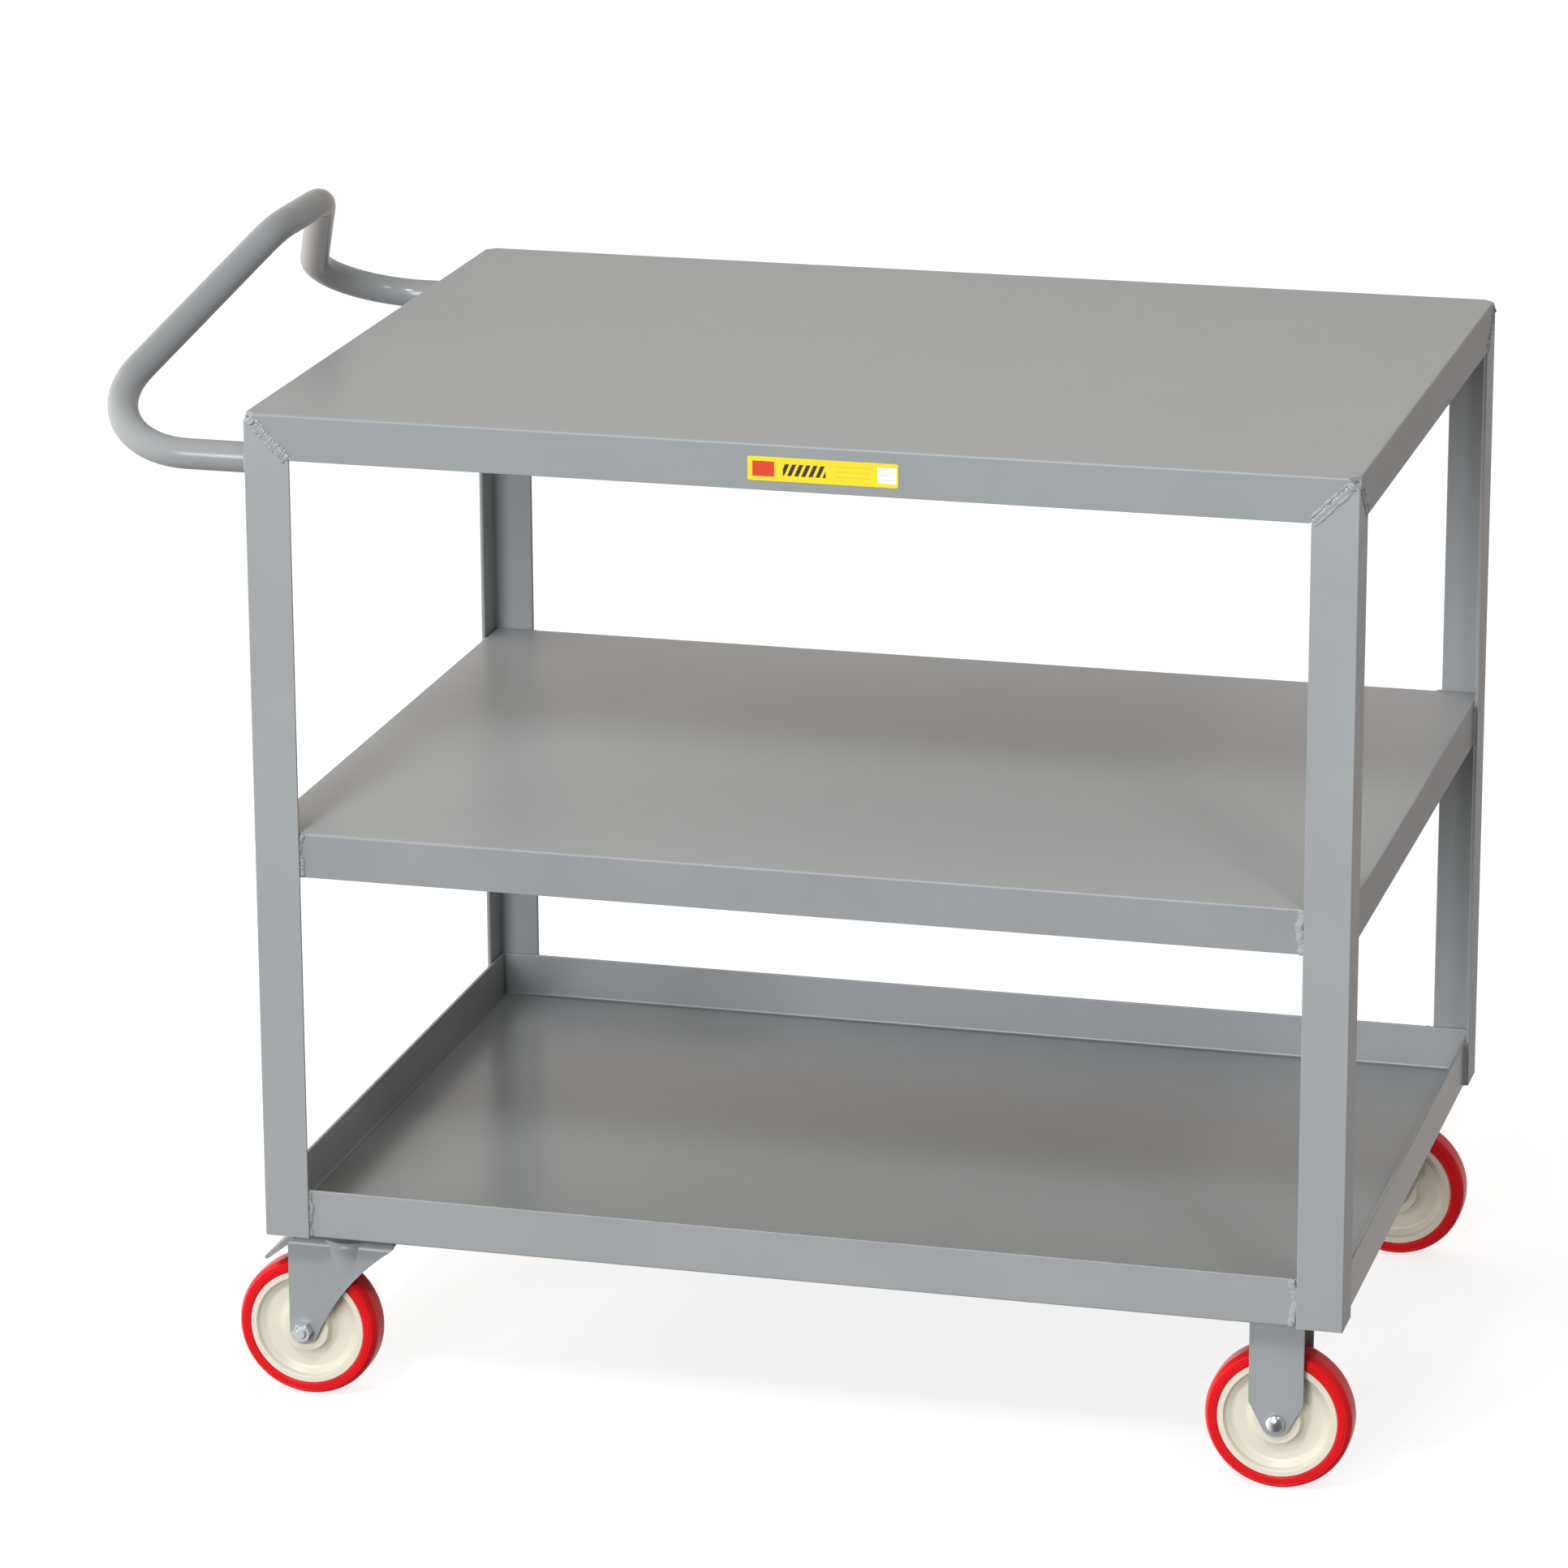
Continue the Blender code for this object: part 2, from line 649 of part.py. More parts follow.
def make_swivel_fork(name, axle, paint, parent):
    crown = CROWN_TOP - WHEEL_RADIUS
    fork = fork_channel(name, swivel_outline(crown), crown, paint, axle, parent)
    disc = turned(
        [
            (0, crown - FORK_THICKNESS - SEAM),
            (CROWN_RADIUS, crown - FORK_THICKNESS - SEAM),
            (CROWN_RADIUS, crown - SEAM),
            (0, crown - SEAM),
        ],
        ROUND_STEPS,
    )
    bmesh.ops.translate(disc, verts=disc.verts, vec=(SWIVEL_LEAD, 0, 0))
    boolean(fork, disc, "UNION")
    half = FORK_GAP / 2 + FORK_THICKNESS / 2
    boolean(fork, prism(rear_flange_outline(crown), -half, half, "XZ"), "UNION")
    hole = KING_BOLT_RADIUS + GAP
    bore = turned([(0, 0), (hole, 0), (hole, 2 * crown), (0, 2 * crown)], ROUND_STEPS)
    bmesh.ops.translate(bore, verts=bore.verts, vec=(SWIVEL_LEAD, 0, 0))
    boolean(fork, bore, "DIFFERENCE")
    boolean(fork, axle_bore(), "DIFFERENCE")


def make_swivel_plate(name, place, paint):
    """The fixed plate, with the rim that covers the balls under it and a countersunk hole."""
    low = (-PLATE_LENGTH / 2, -PLATE_WIDTH / 2, PLATE_UNDERSIDE)
    mesh = to_mesh(box(low, (PLATE_LENGTH / 2, PLATE_WIDTH / 2, PLATE_TOP)), name)
    plate = add_object(name, mesh, paint, place)
    rim_inner = BALL_CIRCLE_RADIUS + BALL_DIAMETER / 2 + GAP
    rim_low = PLATE_UNDERSIDE - RACE_RIM_DEPTH
    rim_high = PLATE_UNDERSIDE + PLATE_THICKNESS / 2
    rim = [(rim_inner, rim_low), (rim_inner + RACE_RIM_WALL, rim_low)]
    rim += [(rim_inner + RACE_RIM_WALL, rim_high), (rim_inner, rim_high)]
    boolean(plate, turned(rim, ROUND_STEPS, ring=True), "UNION")
    hole = KING_BOLT_RADIUS + GAP
    countersink = [
        (0, PLATE_UNDERSIDE - PAST),
        (hole, PLATE_UNDERSIDE - PAST),
        (hole, PLATE_TOP - GAP - KING_HEAD_DEPTH),
        (KING_HEAD_RADIUS + GAP, PLATE_TOP - GAP),
        (KING_HEAD_RADIUS + GAP, PLATE_TOP + PAST),
        (0, PLATE_TOP + PAST),
    ]
    boolean(plate, turned(countersink, ROUND_STEPS), "DIFFERENCE")


def make_swivel_bearing(corner, place, finishes, swivel):
    ball, lower = BALL_DIAMETER / 2, LOWER_BALL_DIAMETER / 2
    upper_ring = tube_profile(BALL_CIRCLE_RADIUS - ball, BALL_CIRCLE_RADIUS + ball, ball)
    upper_z = PLATE_UNDERSIDE - GAP - ball
    mesh = to_mesh(turned(upper_ring, ROUND_STEPS, ring=True), f"{corner}_race_balls")
    add_object(f"{corner}_race_balls", mesh, finishes["steel"], place + Vector((0, 0, upper_z)), swivel)

    lower_ring = tube_profile(LOWER_BALL_CIRCLE_RADIUS - lower, LOWER_BALL_CIRCLE_RADIUS + lower, lower)
    lower_z = CROWN_UNDERSIDE - GAP - lower
    mesh = to_mesh(turned(lower_ring, ROUND_STEPS, ring=True), f"{corner}_lower_balls")
    add_object(f"{corner}_lower_balls", mesh, finishes["steel"], place + Vector((0, 0, lower_z)), swivel)

    bore = KING_BOLT_RADIUS + GAP
    washer_radius = LOWER_BALL_CIRCLE_RADIUS + LOWER_BALL_DIAMETER
    washer = tube_profile(bore, washer_radius, LOWER_RACE_THICKNESS / 2)
    washer_z = LOWER_RACE_UNDERSIDE + LOWER_RACE_THICKNESS / 2
    mesh = to_mesh(turned(washer, ROUND_STEPS, ring=True), f"{corner}_lower_race")
    add_object(f"{corner}_lower_race", mesh, finishes["zinc"], place + Vector((0, 0, washer_z)))

    nut = hex_nut(KING_NUT_FLATS, KING_NUT_HEIGHT, bore, KING_NUT_UNDERSIDE)
    add_object(f"{corner}_king_nut", to_mesh(nut, f"{corner}_king_nut"), finishes["zinc"], place)

    head_top = PLATE_TOP - GAP
    profile = [
        (0, KING_NUT_UNDERSIDE - KING_THREAD_PROUD),
        (KING_BOLT_RADIUS, KING_NUT_UNDERSIDE - KING_THREAD_PROUD),
        (KING_BOLT_RADIUS, head_top - KING_HEAD_DEPTH),
        (KING_HEAD_RADIUS, head_top),
        (0, head_top),
    ]
    mesh = to_mesh(turned(profile, ROUND_STEPS), f"{corner}_king_bolt")
    add_object(f"{corner}_king_bolt", mesh, finishes["zinc"], place, smooth=True)


def make_wheel(corner, axle, meshes, finishes, fixed_to, wheel_axis):
    """The wheel on its axis, and the axle that holds it in the fork."""
    looks = {"wheel_core": "core", "wheel_tread": "tread", "hub_bushing": "bushing"}
    for piece, look in looks.items():
        mesh = meshes[piece].copy()
        add_object(f"{corner}_{piece}", mesh, finishes[look], axle, wheel_axis, smooth=True)
    mesh = meshes["axle_sleeve"].copy()
    add_object(f"{corner}_axle_sleeve", mesh, finishes["zinc"], axle, fixed_to, smooth=True)


def make_axle(corner, axle, finishes, fixed_to, head_faces):
    """A bolt and nut through the fork. head_faces is -1 where the head is on the right side."""
    turn = Matrix.Rotation(math.pi, 4, "Z") if head_faces > 0 else Matrix.Identity(4)
    bolt, nut = make_axle_bolt_mesh(), make_axle_nut_mesh()
    for mesh in (bolt, nut):
        mesh.transform(turn)
    add_object(f"{corner}_axle_bolt", bolt, finishes["zinc"], axle, fixed_to, smooth=True)
    add_object(f"{corner}_axle_nut", nut, finishes["zinc"], axle, fixed_to)


def make_casters(finishes):
    meshes = make_wheel_meshes()
    for corner, sx, sy in corner_signs():
        mount = Vector((DECK_X, 0, 0))
        mount.x += sx * (DECK_LENGTH / 2 - CASTER_END_INSET)
        mount.y = sy * (DECK_WIDTH / 2 - CASTER_SIDE_INSET)
        if sx > 0:
            axle = mount + Vector((0, 0, WHEEL_RADIUS))
            make_rigid_fork(f"{corner}_rigid_fork", axle, finishes["paint"])
            wheel_axis = add_axis(f"{corner}_wheel_axis", axle)
            make_wheel(corner, axle, meshes, finishes, None, wheel_axis)
            make_axle(corner, axle, finishes, None, head_faces=-1)
        else:
            axle = mount + Vector((-SWIVEL_LEAD, 0, WHEEL_RADIUS))
            swivel_axis = add_axis(f"{corner}_swivel_axis", mount)
            make_swivel_plate(f"{corner}_swivel_plate", mount, finishes["paint"])
            make_swivel_fork(f"{corner}_swivel_fork", axle, finishes["paint"], swivel_axis)
            make_swivel_bearing(corner, mount, finishes, swivel_axis)
            wheel_axis = add_axis(f"{corner}_wheel_axis", axle, swivel_axis)
            make_wheel(corner, axle, meshes, finishes, swivel_axis, wheel_axis)
            make_axle(corner, axle, finishes, swivel_axis, head_faces=1)


def main():
    clear_scene()
    finishes = make_materials()
    make_top_shelf(finishes["paint"])
    make_inner_levels(finishes["paint"])
    make_posts(finishes["paint"])
    make_handle(finishes["paint"])
    make_label(finishes["label"])
    make_casters(finishes)


main()
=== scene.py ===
"""Looks of the welded tool cart: enamelled sheet and angle iron, weld beads, and four casters."""

import json
import math

import bmesh
import bpy
from mathutils import Matrix, Vector


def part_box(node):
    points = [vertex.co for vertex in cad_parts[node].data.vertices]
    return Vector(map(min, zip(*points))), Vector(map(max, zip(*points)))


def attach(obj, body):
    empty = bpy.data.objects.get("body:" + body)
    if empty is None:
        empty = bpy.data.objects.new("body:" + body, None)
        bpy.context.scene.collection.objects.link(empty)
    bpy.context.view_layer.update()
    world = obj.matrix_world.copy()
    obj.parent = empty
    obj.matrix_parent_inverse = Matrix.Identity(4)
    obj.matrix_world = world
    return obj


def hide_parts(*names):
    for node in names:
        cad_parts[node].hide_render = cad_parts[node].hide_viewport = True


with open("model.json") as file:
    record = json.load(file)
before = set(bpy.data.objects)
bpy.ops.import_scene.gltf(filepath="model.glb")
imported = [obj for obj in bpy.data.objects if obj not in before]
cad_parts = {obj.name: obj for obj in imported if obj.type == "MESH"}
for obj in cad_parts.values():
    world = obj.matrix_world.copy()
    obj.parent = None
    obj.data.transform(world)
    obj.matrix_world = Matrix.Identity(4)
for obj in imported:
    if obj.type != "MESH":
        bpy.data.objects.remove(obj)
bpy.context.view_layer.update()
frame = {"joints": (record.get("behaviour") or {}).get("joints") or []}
joint_at = {joint["name"]: Vector(joint["pos_m"]) for joint in frame["joints"]}

# Sheet metal and angle iron, in metres
SHEET = 0.0027
OUTER_BEND = 0.0018
INNER_BEND = 0.0018
POST_LEG = 0.0381
POST_THICKNESS = 0.0032
SHEARED_EDGE = 0.0006
BEND_LEAD = 0.0008
POST_HEEL = 0.0009
POST_EDGE = 0.0005
POST_TOE = 0.0018
POST_FILLET = 0.0034
CORNER_CLIP = 0.0100
PAST = 0.0020

# Welds
WELD_GROOVE = 0.0009
WELD_SINK = 0.0010
WELD_LANE = 0.0036
WELD_START = 0.0058
WELD_STOP = 0.0022
CAP_SINK = 0.0014
CAP_HALF = 0.0030
CAP_DROP = 0.0016
RIM_WELD_INSET = 0.0030
RIM_WELD_REACH = 0.0032
RIM_WELD_NEAR = 0.0006
SEAM_INSET = 0.0060

# Label
LABEL_CORNER = 0.0016
LABEL_PROUD = 0.0003

# Handle tube
TUBE_RADIUS = 0.0127
HANDLE_DROP = 0.0418
HANDLE_RISE = 0.1357
HANDLE_LEAN = 0.0996
GRIP_WIDTH = 0.1194
BEND_RADIUS = 0.0762

# Casters
WHEEL_RADIUS = 0.06125
CORE_RADIUS = 0.0500
FORK_GAP = 0.0384
FORK_THICKNESS = 0.0032
FORK_HALF = FORK_GAP / 2 + FORK_THICKNESS
FORK_BEND = 0.0072
PLATE_THICKNESS = 0.0045
PLATE_CORNER = 0.0060
RIGID_LEG_WIDTH = 0.0454
RIGID_TAPER_FROM = 0.0170
FORK_TIP_RADIUS = 0.0125
SWIVEL_LEAD = 0.0375
CROWN_FORWARD = 0.0425
LEG_EDGE_HOLLOW = 0.0080
CROWN_ABOVE_WHEEL = 0.0188
WHEEL_TO_FLANGE = 0.0050
FLANGE_LENGTH = 0.0300
FLANGE_ROOT = 0.0040
CROWN_DISC_RADIUS = 0.0262
CROWN_DISC_DEPTH = 0.0034
SHOULDER_PROUD = 0.0040
SHOULDER_WAIST = 0.0026
SHOULDER_DEPTH = 0.0460

# Axles, king bolts and bearings
AXLE_RADIUS = 0.0047
AXLE_HEAD_RADIUS = 0.0080
AXLE_HEAD_RIM = 0.0012
AXLE_HEAD_DOME = 0.0040
AXLE_NUT_FLATS = 0.0143
AXLE_NUT_HEIGHT = 0.0082
AXLE_END_PROUD = 0.0022
THREAD_PITCH = 0.0012
THREAD_DEPTH = 0.00035
WASHER_GAP = 0.0003
KING_RADIUS = 0.0048
KING_HOLE = 0.0051
KING_HEAD_RADIUS = 0.0092
KING_HEAD_HEIGHT = 0.0034
KING_NUT_FLATS = 0.0165
KING_THREAD_LENGTH = 0.0105
UPPER_RING = 0.0185
LOWER_RING = 0.0125
RACEWAY_WALL = 0.0022
BALL_ROOM = 0.00345
HOLLOW_ROOM = 0.0004

top_low, top_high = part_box("top_shelf")
deck_height = top_high.z
deck_middle = (top_low + top_high) / 2


# Shapes


def outline_with_fillets(corners, steps=6):
    """A closed outline from (x, y, fillet radius) corners."""
    points = []
    count = len(corners)
    for i, (x, y, radius) in enumerate(corners):
        here = Vector((x, y))
        if not radius:
            points.append((x, y))
            continue
        before = Vector(corners[i - 1][:2]) - here
        after = Vector(corners[(i + 1) % count][:2]) - here
        half = before.angle(after) / 2
        reach = min(radius / math.tan(half), before.length * 0.49, after.length * 0.49)
        radius = reach * math.tan(half)
        middle = here + (before.normalized() + after.normalized()).normalized() * (radius / math.sin(half))
        start = here + before.normalized() * reach - middle
        end = here + after.normalized() * reach - middle
        turn = math.atan2(start.x * end.y - start.y * end.x, start.dot(end))
        for k in range(steps + 1):
            angle = turn * k / steps
            spun = Vector((
                start.x * math.cos(angle) - start.y * math.sin(angle),
                start.x * math.sin(angle) + start.y * math.cos(angle),
            ))
            points.append(tuple(middle + spun))
    return points


def rounded_rectangle(low, high, corner, steps=6):
    places = ((low[0], low[1]), (high[0], low[1]), (high[0], high[1]), (low[0], high[1]))
    return outline_with_fillets([(*place, corner) for place in places], steps)


def extruded(outline, near, far, plane):
    """A prism of the outline. Plane XZ runs along Y, YZ along X and XY along Z."""
    place = {
        "XZ": lambda a, b, depth: (a, depth, b),
        "YZ": lambda a, b, depth: (depth, a, b),
        "XY": lambda a, b, depth: (a, b, depth),
    }[plane]
    bm = bmesh.new()
    rings = [[bm.verts.new(place(a, b, depth)) for a, b in outline] for depth in (near, far)]
    bm.faces.new(rings[0])
    bm.faces.new(reversed(rings[1]))
    for i in range(len(outline)):
        j = (i + 1) % len(outline)
        bm.faces.new((rings[0][i], rings[1][i], rings[1][j], rings[0][j]))
    return bm


def turned(profile, steps, ring=False, axis="Z"):
    """A profile of (radius, height) points turned round an axis. A ring's profile is a closed loop."""
    bm = bmesh.new()
    rows = []
    for radius, height in profile:
        if radius <= 0:
            rows.append([bm.verts.new((0, 0, height))] * steps)
            continue
        turns = (2 * math.pi * i / steps for i in range(steps))
        rows.append([bm.verts.new((radius * math.cos(t), radius * math.sin(t), height)) for t in turns])
    pairs = list(zip(rows, rows[1:]))
    if ring:
        pairs.append((rows[-1], rows[0]))
    for row, following in pairs:
        for i in range(steps):
            j = (i + 1) % steps
            bm.faces.new(tuple(dict.fromkeys((row[i], row[j], following[j], following[i]))))
    if axis == "Y":
        bmesh.ops.rotate(bm, verts=bm.verts, matrix=Matrix.Rotation(math.radians(90), 3, "X"))
    return bm


def block(low, high):
    bm = bmesh.new()
    bmesh.ops.create_cube(bm, size=1.0)
    low, high = Vector(low), Vector(high)
    for vert in bm.verts:
        vert.co = Vector(a * b + c for a, b, c in zip(vert.co, high - low, (low + high) / 2))
    return bm


def shifted(bm, offset):
    bmesh.ops.translate(bm, verts=bm.verts, vec=offset)
    return bm


def outward(bm):
    bmesh.ops.recalc_face_normals(bm, faces=bm.faces)
    if bm.calc_volume(signed=True) < 0:
        bmesh.ops.reverse_faces(bm, faces=bm.faces)
    return bm


def mesh_of(bm, name):
    outward(bm)
    mesh = bpy.data.meshes.new(name)
    bm.to_mesh(mesh)
    bm.free()
    return mesh


def loose_object(bm, name):
    obj = bpy.data.objects.new(name, mesh_of(bm, name))
    bpy.context.scene.collection.objects.link(obj)
    return obj


def settle_modifiers(obj):
    """Replaces the mesh with what its modifiers make of it."""
    graph = bpy.context.evaluated_depsgraph_get()
    mesh = bpy.data.meshes.new_from_object(obj.evaluated_get(graph))
    obj.modifiers.clear()
    obj.data = mesh
    return obj


def combine(obj, bm, operation):
    """Cuts, joins or trims obj with the shape in bm."""
    tool = loose_object(bm, obj.name + "_tool")
    modifier = obj.modifiers.new("shape", "BOOLEAN")
    modifier.operation = operation
    modifier.solver = "EXACT"
    modifier.object = tool
    settle_modifiers(obj)
    bpy.data.objects.remove(tool, do_unlink=True)
    return obj


def cut_off(bm, point, normal):
    """Removes what lies past the plane and closes the cut."""
    everything = list(bm.verts) + list(bm.edges) + list(bm.faces)
    cut = bmesh.ops.bisect_plane(
        bm, geom=everything, dist=1e-7, plane_co=point, plane_no=normal, clear_outer=True
    )
    edges = [part for part in cut["geom_cut"] if isinstance(part, bmesh.types.BMEdge)]
    bmesh.ops.triangle_fill(bm, use_beauty=True, edges=edges)


def soften(obj, width, angle=40, segments=2):
    """Rounds the edges that are sharper than the angle."""
    modifier = obj.modifiers.new("edges", "BEVEL")
    modifier.width = width
    modifier.segments = segments
    modifier.limit_method = "ANGLE"
    modifier.angle_limit = math.radians(angle)
    modifier.use_clamp_overlap = True
    return settle_modifiers(obj)


def shade(obj, sharp=38):
    """Smooth shading that keeps flat faces flat beside rounded edges."""
    obj.data.shade_smooth()
    obj.data.set_sharp_from_angle(angle=math.radians(sharp))
    modifier = obj.modifiers.new("normals", "WEIGHTED_NORMAL")
    modifier.keep_sharp = True
    modifier.weight = 100
    return settle_modifiers(obj)


def finish_piece(obj, material, body, slot, *nodes):
    obj.data.materials.clear()
    obj.data.materials.append(material)
    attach(obj, body)
    if nodes:
        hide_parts(*nodes)
    return obj


# Effects that several materials share


class Wiring:
    """Adds nodes to a tree and links them."""

    def __init__(self, tree):
        self.tree = tree

    def add(self, kind, inputs=None, **settings):
        node = self.tree.nodes.new(kind)
        for name, value in settings.items():
            setattr(node, name, value)
        for name, value in (inputs or {}).items():
            socket = node.inputs[name]
            if isinstance(value, bpy.types.NodeSocket):
                self.tree.links.new(value, socket)
            else:
                socket.default_value = value
        return node

    def upward(self):
        """How far a face looks up, from 0 to 1."""
        normal = self.add("ShaderNodeNewGeometry").outputs["Normal"]
        return self.add("ShaderNodeSeparateXYZ", {0: normal}).outputs["Z"]

    def noise(self, vector, scale, detail=2.0, roughness=0.5):
        node = self.add(
            "ShaderNodeTexNoise",
            {"Vector": vector, "Scale": scale, "Detail": detail, "Roughness": roughness},
        )
        return node.outputs["Fac"]

    def math(self, operation, a, b=0.0, clamp=False):
        return self.add(
            "ShaderNodeMath", {0: a, 1: b}, operation=operation, use_clamp=clamp
        ).outputs[0]

    def span(self, value, low, high, to_low=0.0, to_high=1.0):
        """Maps low..high to a new range."""
        node = self.add(
            "ShaderNodeMapRange",
            {"Value": value, "From Min": low, "From Max": high, "To Min": to_low, "To Max": to_high},
        )
        return node.outputs["Result"]

    def blend(self, factor, a, b):
        """Mixes two colours."""
        node = self.add("ShaderNodeMix", data_type="RGBA")
        for socket, value in ((node.inputs[0], factor), (node.inputs[6], a), (node.inputs[7], b)):
            if isinstance(value, bpy.types.NodeSocket):
                self.tree.links.new(value, socket)
            else:
                socket.default_value = value if isinstance(value, (int, float)) else (*value, 1.0)
        return node.outputs[2]


def new_group(name, inputs, outputs):
    tree = bpy.data.node_groups.new(name, "ShaderNodeTree")
    for label, value in inputs.items():
        socket = tree.interface.new_socket(label, in_out="INPUT", socket_type="NodeSocketFloat")
        socket.default_value = value
    for label in outputs:
        tree.interface.new_socket(label, in_out="OUTPUT", socket_type="NodeSocketFloat")
    wiring = Wiring(tree)
    return tree, wiring, wiring.add("NodeGroupInput"), wiring.add("NodeGroupOutput")


def make_sprayed_grain():
    """Orange peel of a sprayed or moulded surface, with a slower unevenness in tone and gloss."""
    tree, w, given, made = new_group(
        "sprayed_grain",
        {"Grain Size": 0.0011, "Wave Size": 0.018, "Tone Size": 0.16},
        ["Height", "Tone", "Speck", "Gloss"],
    )
    place = w.add("ShaderNodeTexCoord").outputs["Object"]
    grain_scale = w.math("DIVIDE", 1.0, given.outputs["Grain Size"])
    wave_scale = w.math("DIVIDE", 1.0, given.outputs["Wave Size"])
    tone_scale = w.math("DIVIDE", 1.0, given.outputs["Tone Size"])
    grain = w.noise(place, grain_scale, 1.5, 0.55)
    wave = w.noise(place, wave_scale, 2.0, 0.5)
    tone = w.noise(place, tone_scale, 4.0, 0.55)
    speck = w.noise(place, w.math("MULTIPLY", grain_scale, 0.62), 3.0, 0.7)
    height = w.math("ADD", w.math("MULTIPLY", grain, 0.55), w.math("MULTIPLY", wave, 0.45))
    gloss = w.math("ADD", w.math("MULTIPLY", wave, 0.5), w.math("MULTIPLY", tone, 0.5))
    for label, value in (("Height", height), ("Tone", tone), ("Speck", speck), ("Gloss", gloss)):
        tree.links.new(value, made.inputs[label])
    return tree


def make_settled_dust():
    """Fine dust that lies on faces looking up, patchy and thicker in the low places of the noise."""
    tree, w, given, made = new_group("settled_dust", {"Amount": 0.2, "Patch Size": 0.09}, ["Mask"])
    place = w.add("ShaderNodeTexCoord").outputs["Object"]
    facing = w.span(w.upward(), 0.55, 1.0)
    patches = w.noise(place, w.math("DIVIDE", 1.0, given.outputs["Patch Size"]), 5.0, 0.6)
    fine = w.noise(place, 420.0, 2.0, 0.6)
    cover = w.math("MULTIPLY", w.span(patches, 0.38, 0.72), w.span(fine, 0.25, 0.75, 0.5, 1.0))
    mask = w.math("MULTIPLY", w.math("MULTIPLY", cover, facing), given.outputs["Amount"], clamp=True)
    tree.links.new(mask, made.inputs["Mask"])
    return tree


def make_turning_marks():
    """Fine tool marks and scattered scuffs on plated or ground steel."""
    tree, w, given, made = new_group(
        "turning_marks", {"Line Size": 0.0004, "Scuff Size": 0.004}, ["Height", "Scuff"]
    )
    place = w.add("ShaderNodeTexCoord").outputs["Object"]
    lines = w.noise(place, w.math("DIVIDE", 1.0, given.outputs["Line Size"]), 3.0, 0.65)
    scuff = w.noise(place, w.math("DIVIDE", 1.0, given.outputs["Scuff Size"]), 5.0, 0.7)
    height = w.math("ADD", w.math("MULTIPLY", lines, 0.6), w.math("MULTIPLY", scuff, 0.4))
    tree.links.new(height, made.inputs["Height"])
    tree.links.new(w.span(scuff, 0.45, 0.75), made.inputs["Scuff"])
    return tree


sprayed_grain = make_sprayed_grain()
settled_dust = make_settled_dust()
turning_marks = make_turning_marks()


def new_material(name, constants):
    material = bpy.data.materials.new(name)
    material.use_nodes = True
    shader = material.node_tree.nodes["Principled BSDF"]
    for label, value in constants.items():
        shader.inputs[label].default_value = value
    return material, Wiring(material.node_tree), shader


def use_group(w, tree, **inputs):
    node = w.add("ShaderNodeGroup", node_tree=tree)
    for label, value in inputs.items():
        node.inputs[label.replace("_", " ")].default_value = value
    return node


def raise_bump(w, shader, height, strength, distance):
    bump = w.add("ShaderNodeBump", {"Strength": strength, "Distance": distance, "Height": height})
    w.tree.links.new(bump.outputs["Normal"], shader.inputs["Normal"])


GLOSS_SPREAD = 0.03
# Painted light: the lighter, warmer grey that faces looking up are blended towards
TOP_LIGHT_GREY = (0.52, 0.517, 0.508)
DUST_GREY = (0.46, 0.45, 0.43)


def make_enamel(name, colour, roughness, bump, grain_size=0.0011, dust=0.0, top_light=0.0):
    """Baked grey enamel over steel, dusty where it looks up, with painted light that makes faces looking up
    lighter and warmer.
    """
    material, w, shader = new_material(name, {"Metallic": 0.0, "IOR": 1.48, "Coat Weight": 0.0})
    grain = use_group(w, sprayed_grain, Grain_Size=grain_size)
    light = tuple(c * 1.05 for c in colour)
    dark = tuple(c * 0.95 for c in colour)
    tone = w.blend(w.span(grain.outputs["Tone"], 0.3, 0.7), dark, light)
    spotted = w.blend(w.span(grain.outputs["Speck"], 0.35, 0.65), tone, light)
    mixed = w.blend(0.35, tone, spotted)
    # Painted light on faces that look up, lighter and warmer
    if top_light:
        mixed = w.blend(w.span(w.upward(), 0.5, 1.0, 0.0, top_light), mixed, TOP_LIGHT_GREY)
    if dust:
        mask = use_group(w, settled_dust, Amount=dust).outputs["Mask"]
        mixed = w.blend(mask, mixed, DUST_GREY)
    w.tree.links.new(mixed, shader.inputs["Base Color"])
    dull, glossy = roughness - GLOSS_SPREAD, roughness + GLOSS_SPREAD
    rough = w.span(grain.outputs["Gloss"], 0.3, 0.7, dull, glossy)
    w.tree.links.new(rough, shader.inputs["Roughness"])
    raise_bump(w, shader, grain.outputs["Height"], bump, 0.0004)
    return material


def make_metal(name, colour, roughness, line_size=0.0004, bump=0.15):
    """Bright plated or ground steel with fine tool marks."""
    material, w, shader = new_material(name, {"Metallic": 1.0})
    marks = use_group(w, turning_marks, Line_Size=line_size)
    dull = tuple(c * 0.72 for c in colour)
    w.tree.links.new(w.blend(marks.outputs["Scuff"], colour, dull), shader.inputs["Base Color"])
    rough = w.span(marks.outputs["Scuff"], 0.0, 1.0, roughness, roughness + 0.09)
    w.tree.links.new(rough, shader.inputs["Roughness"])
    raise_bump(w, shader, marks.outputs["Height"], bump, 0.00008)
    return material


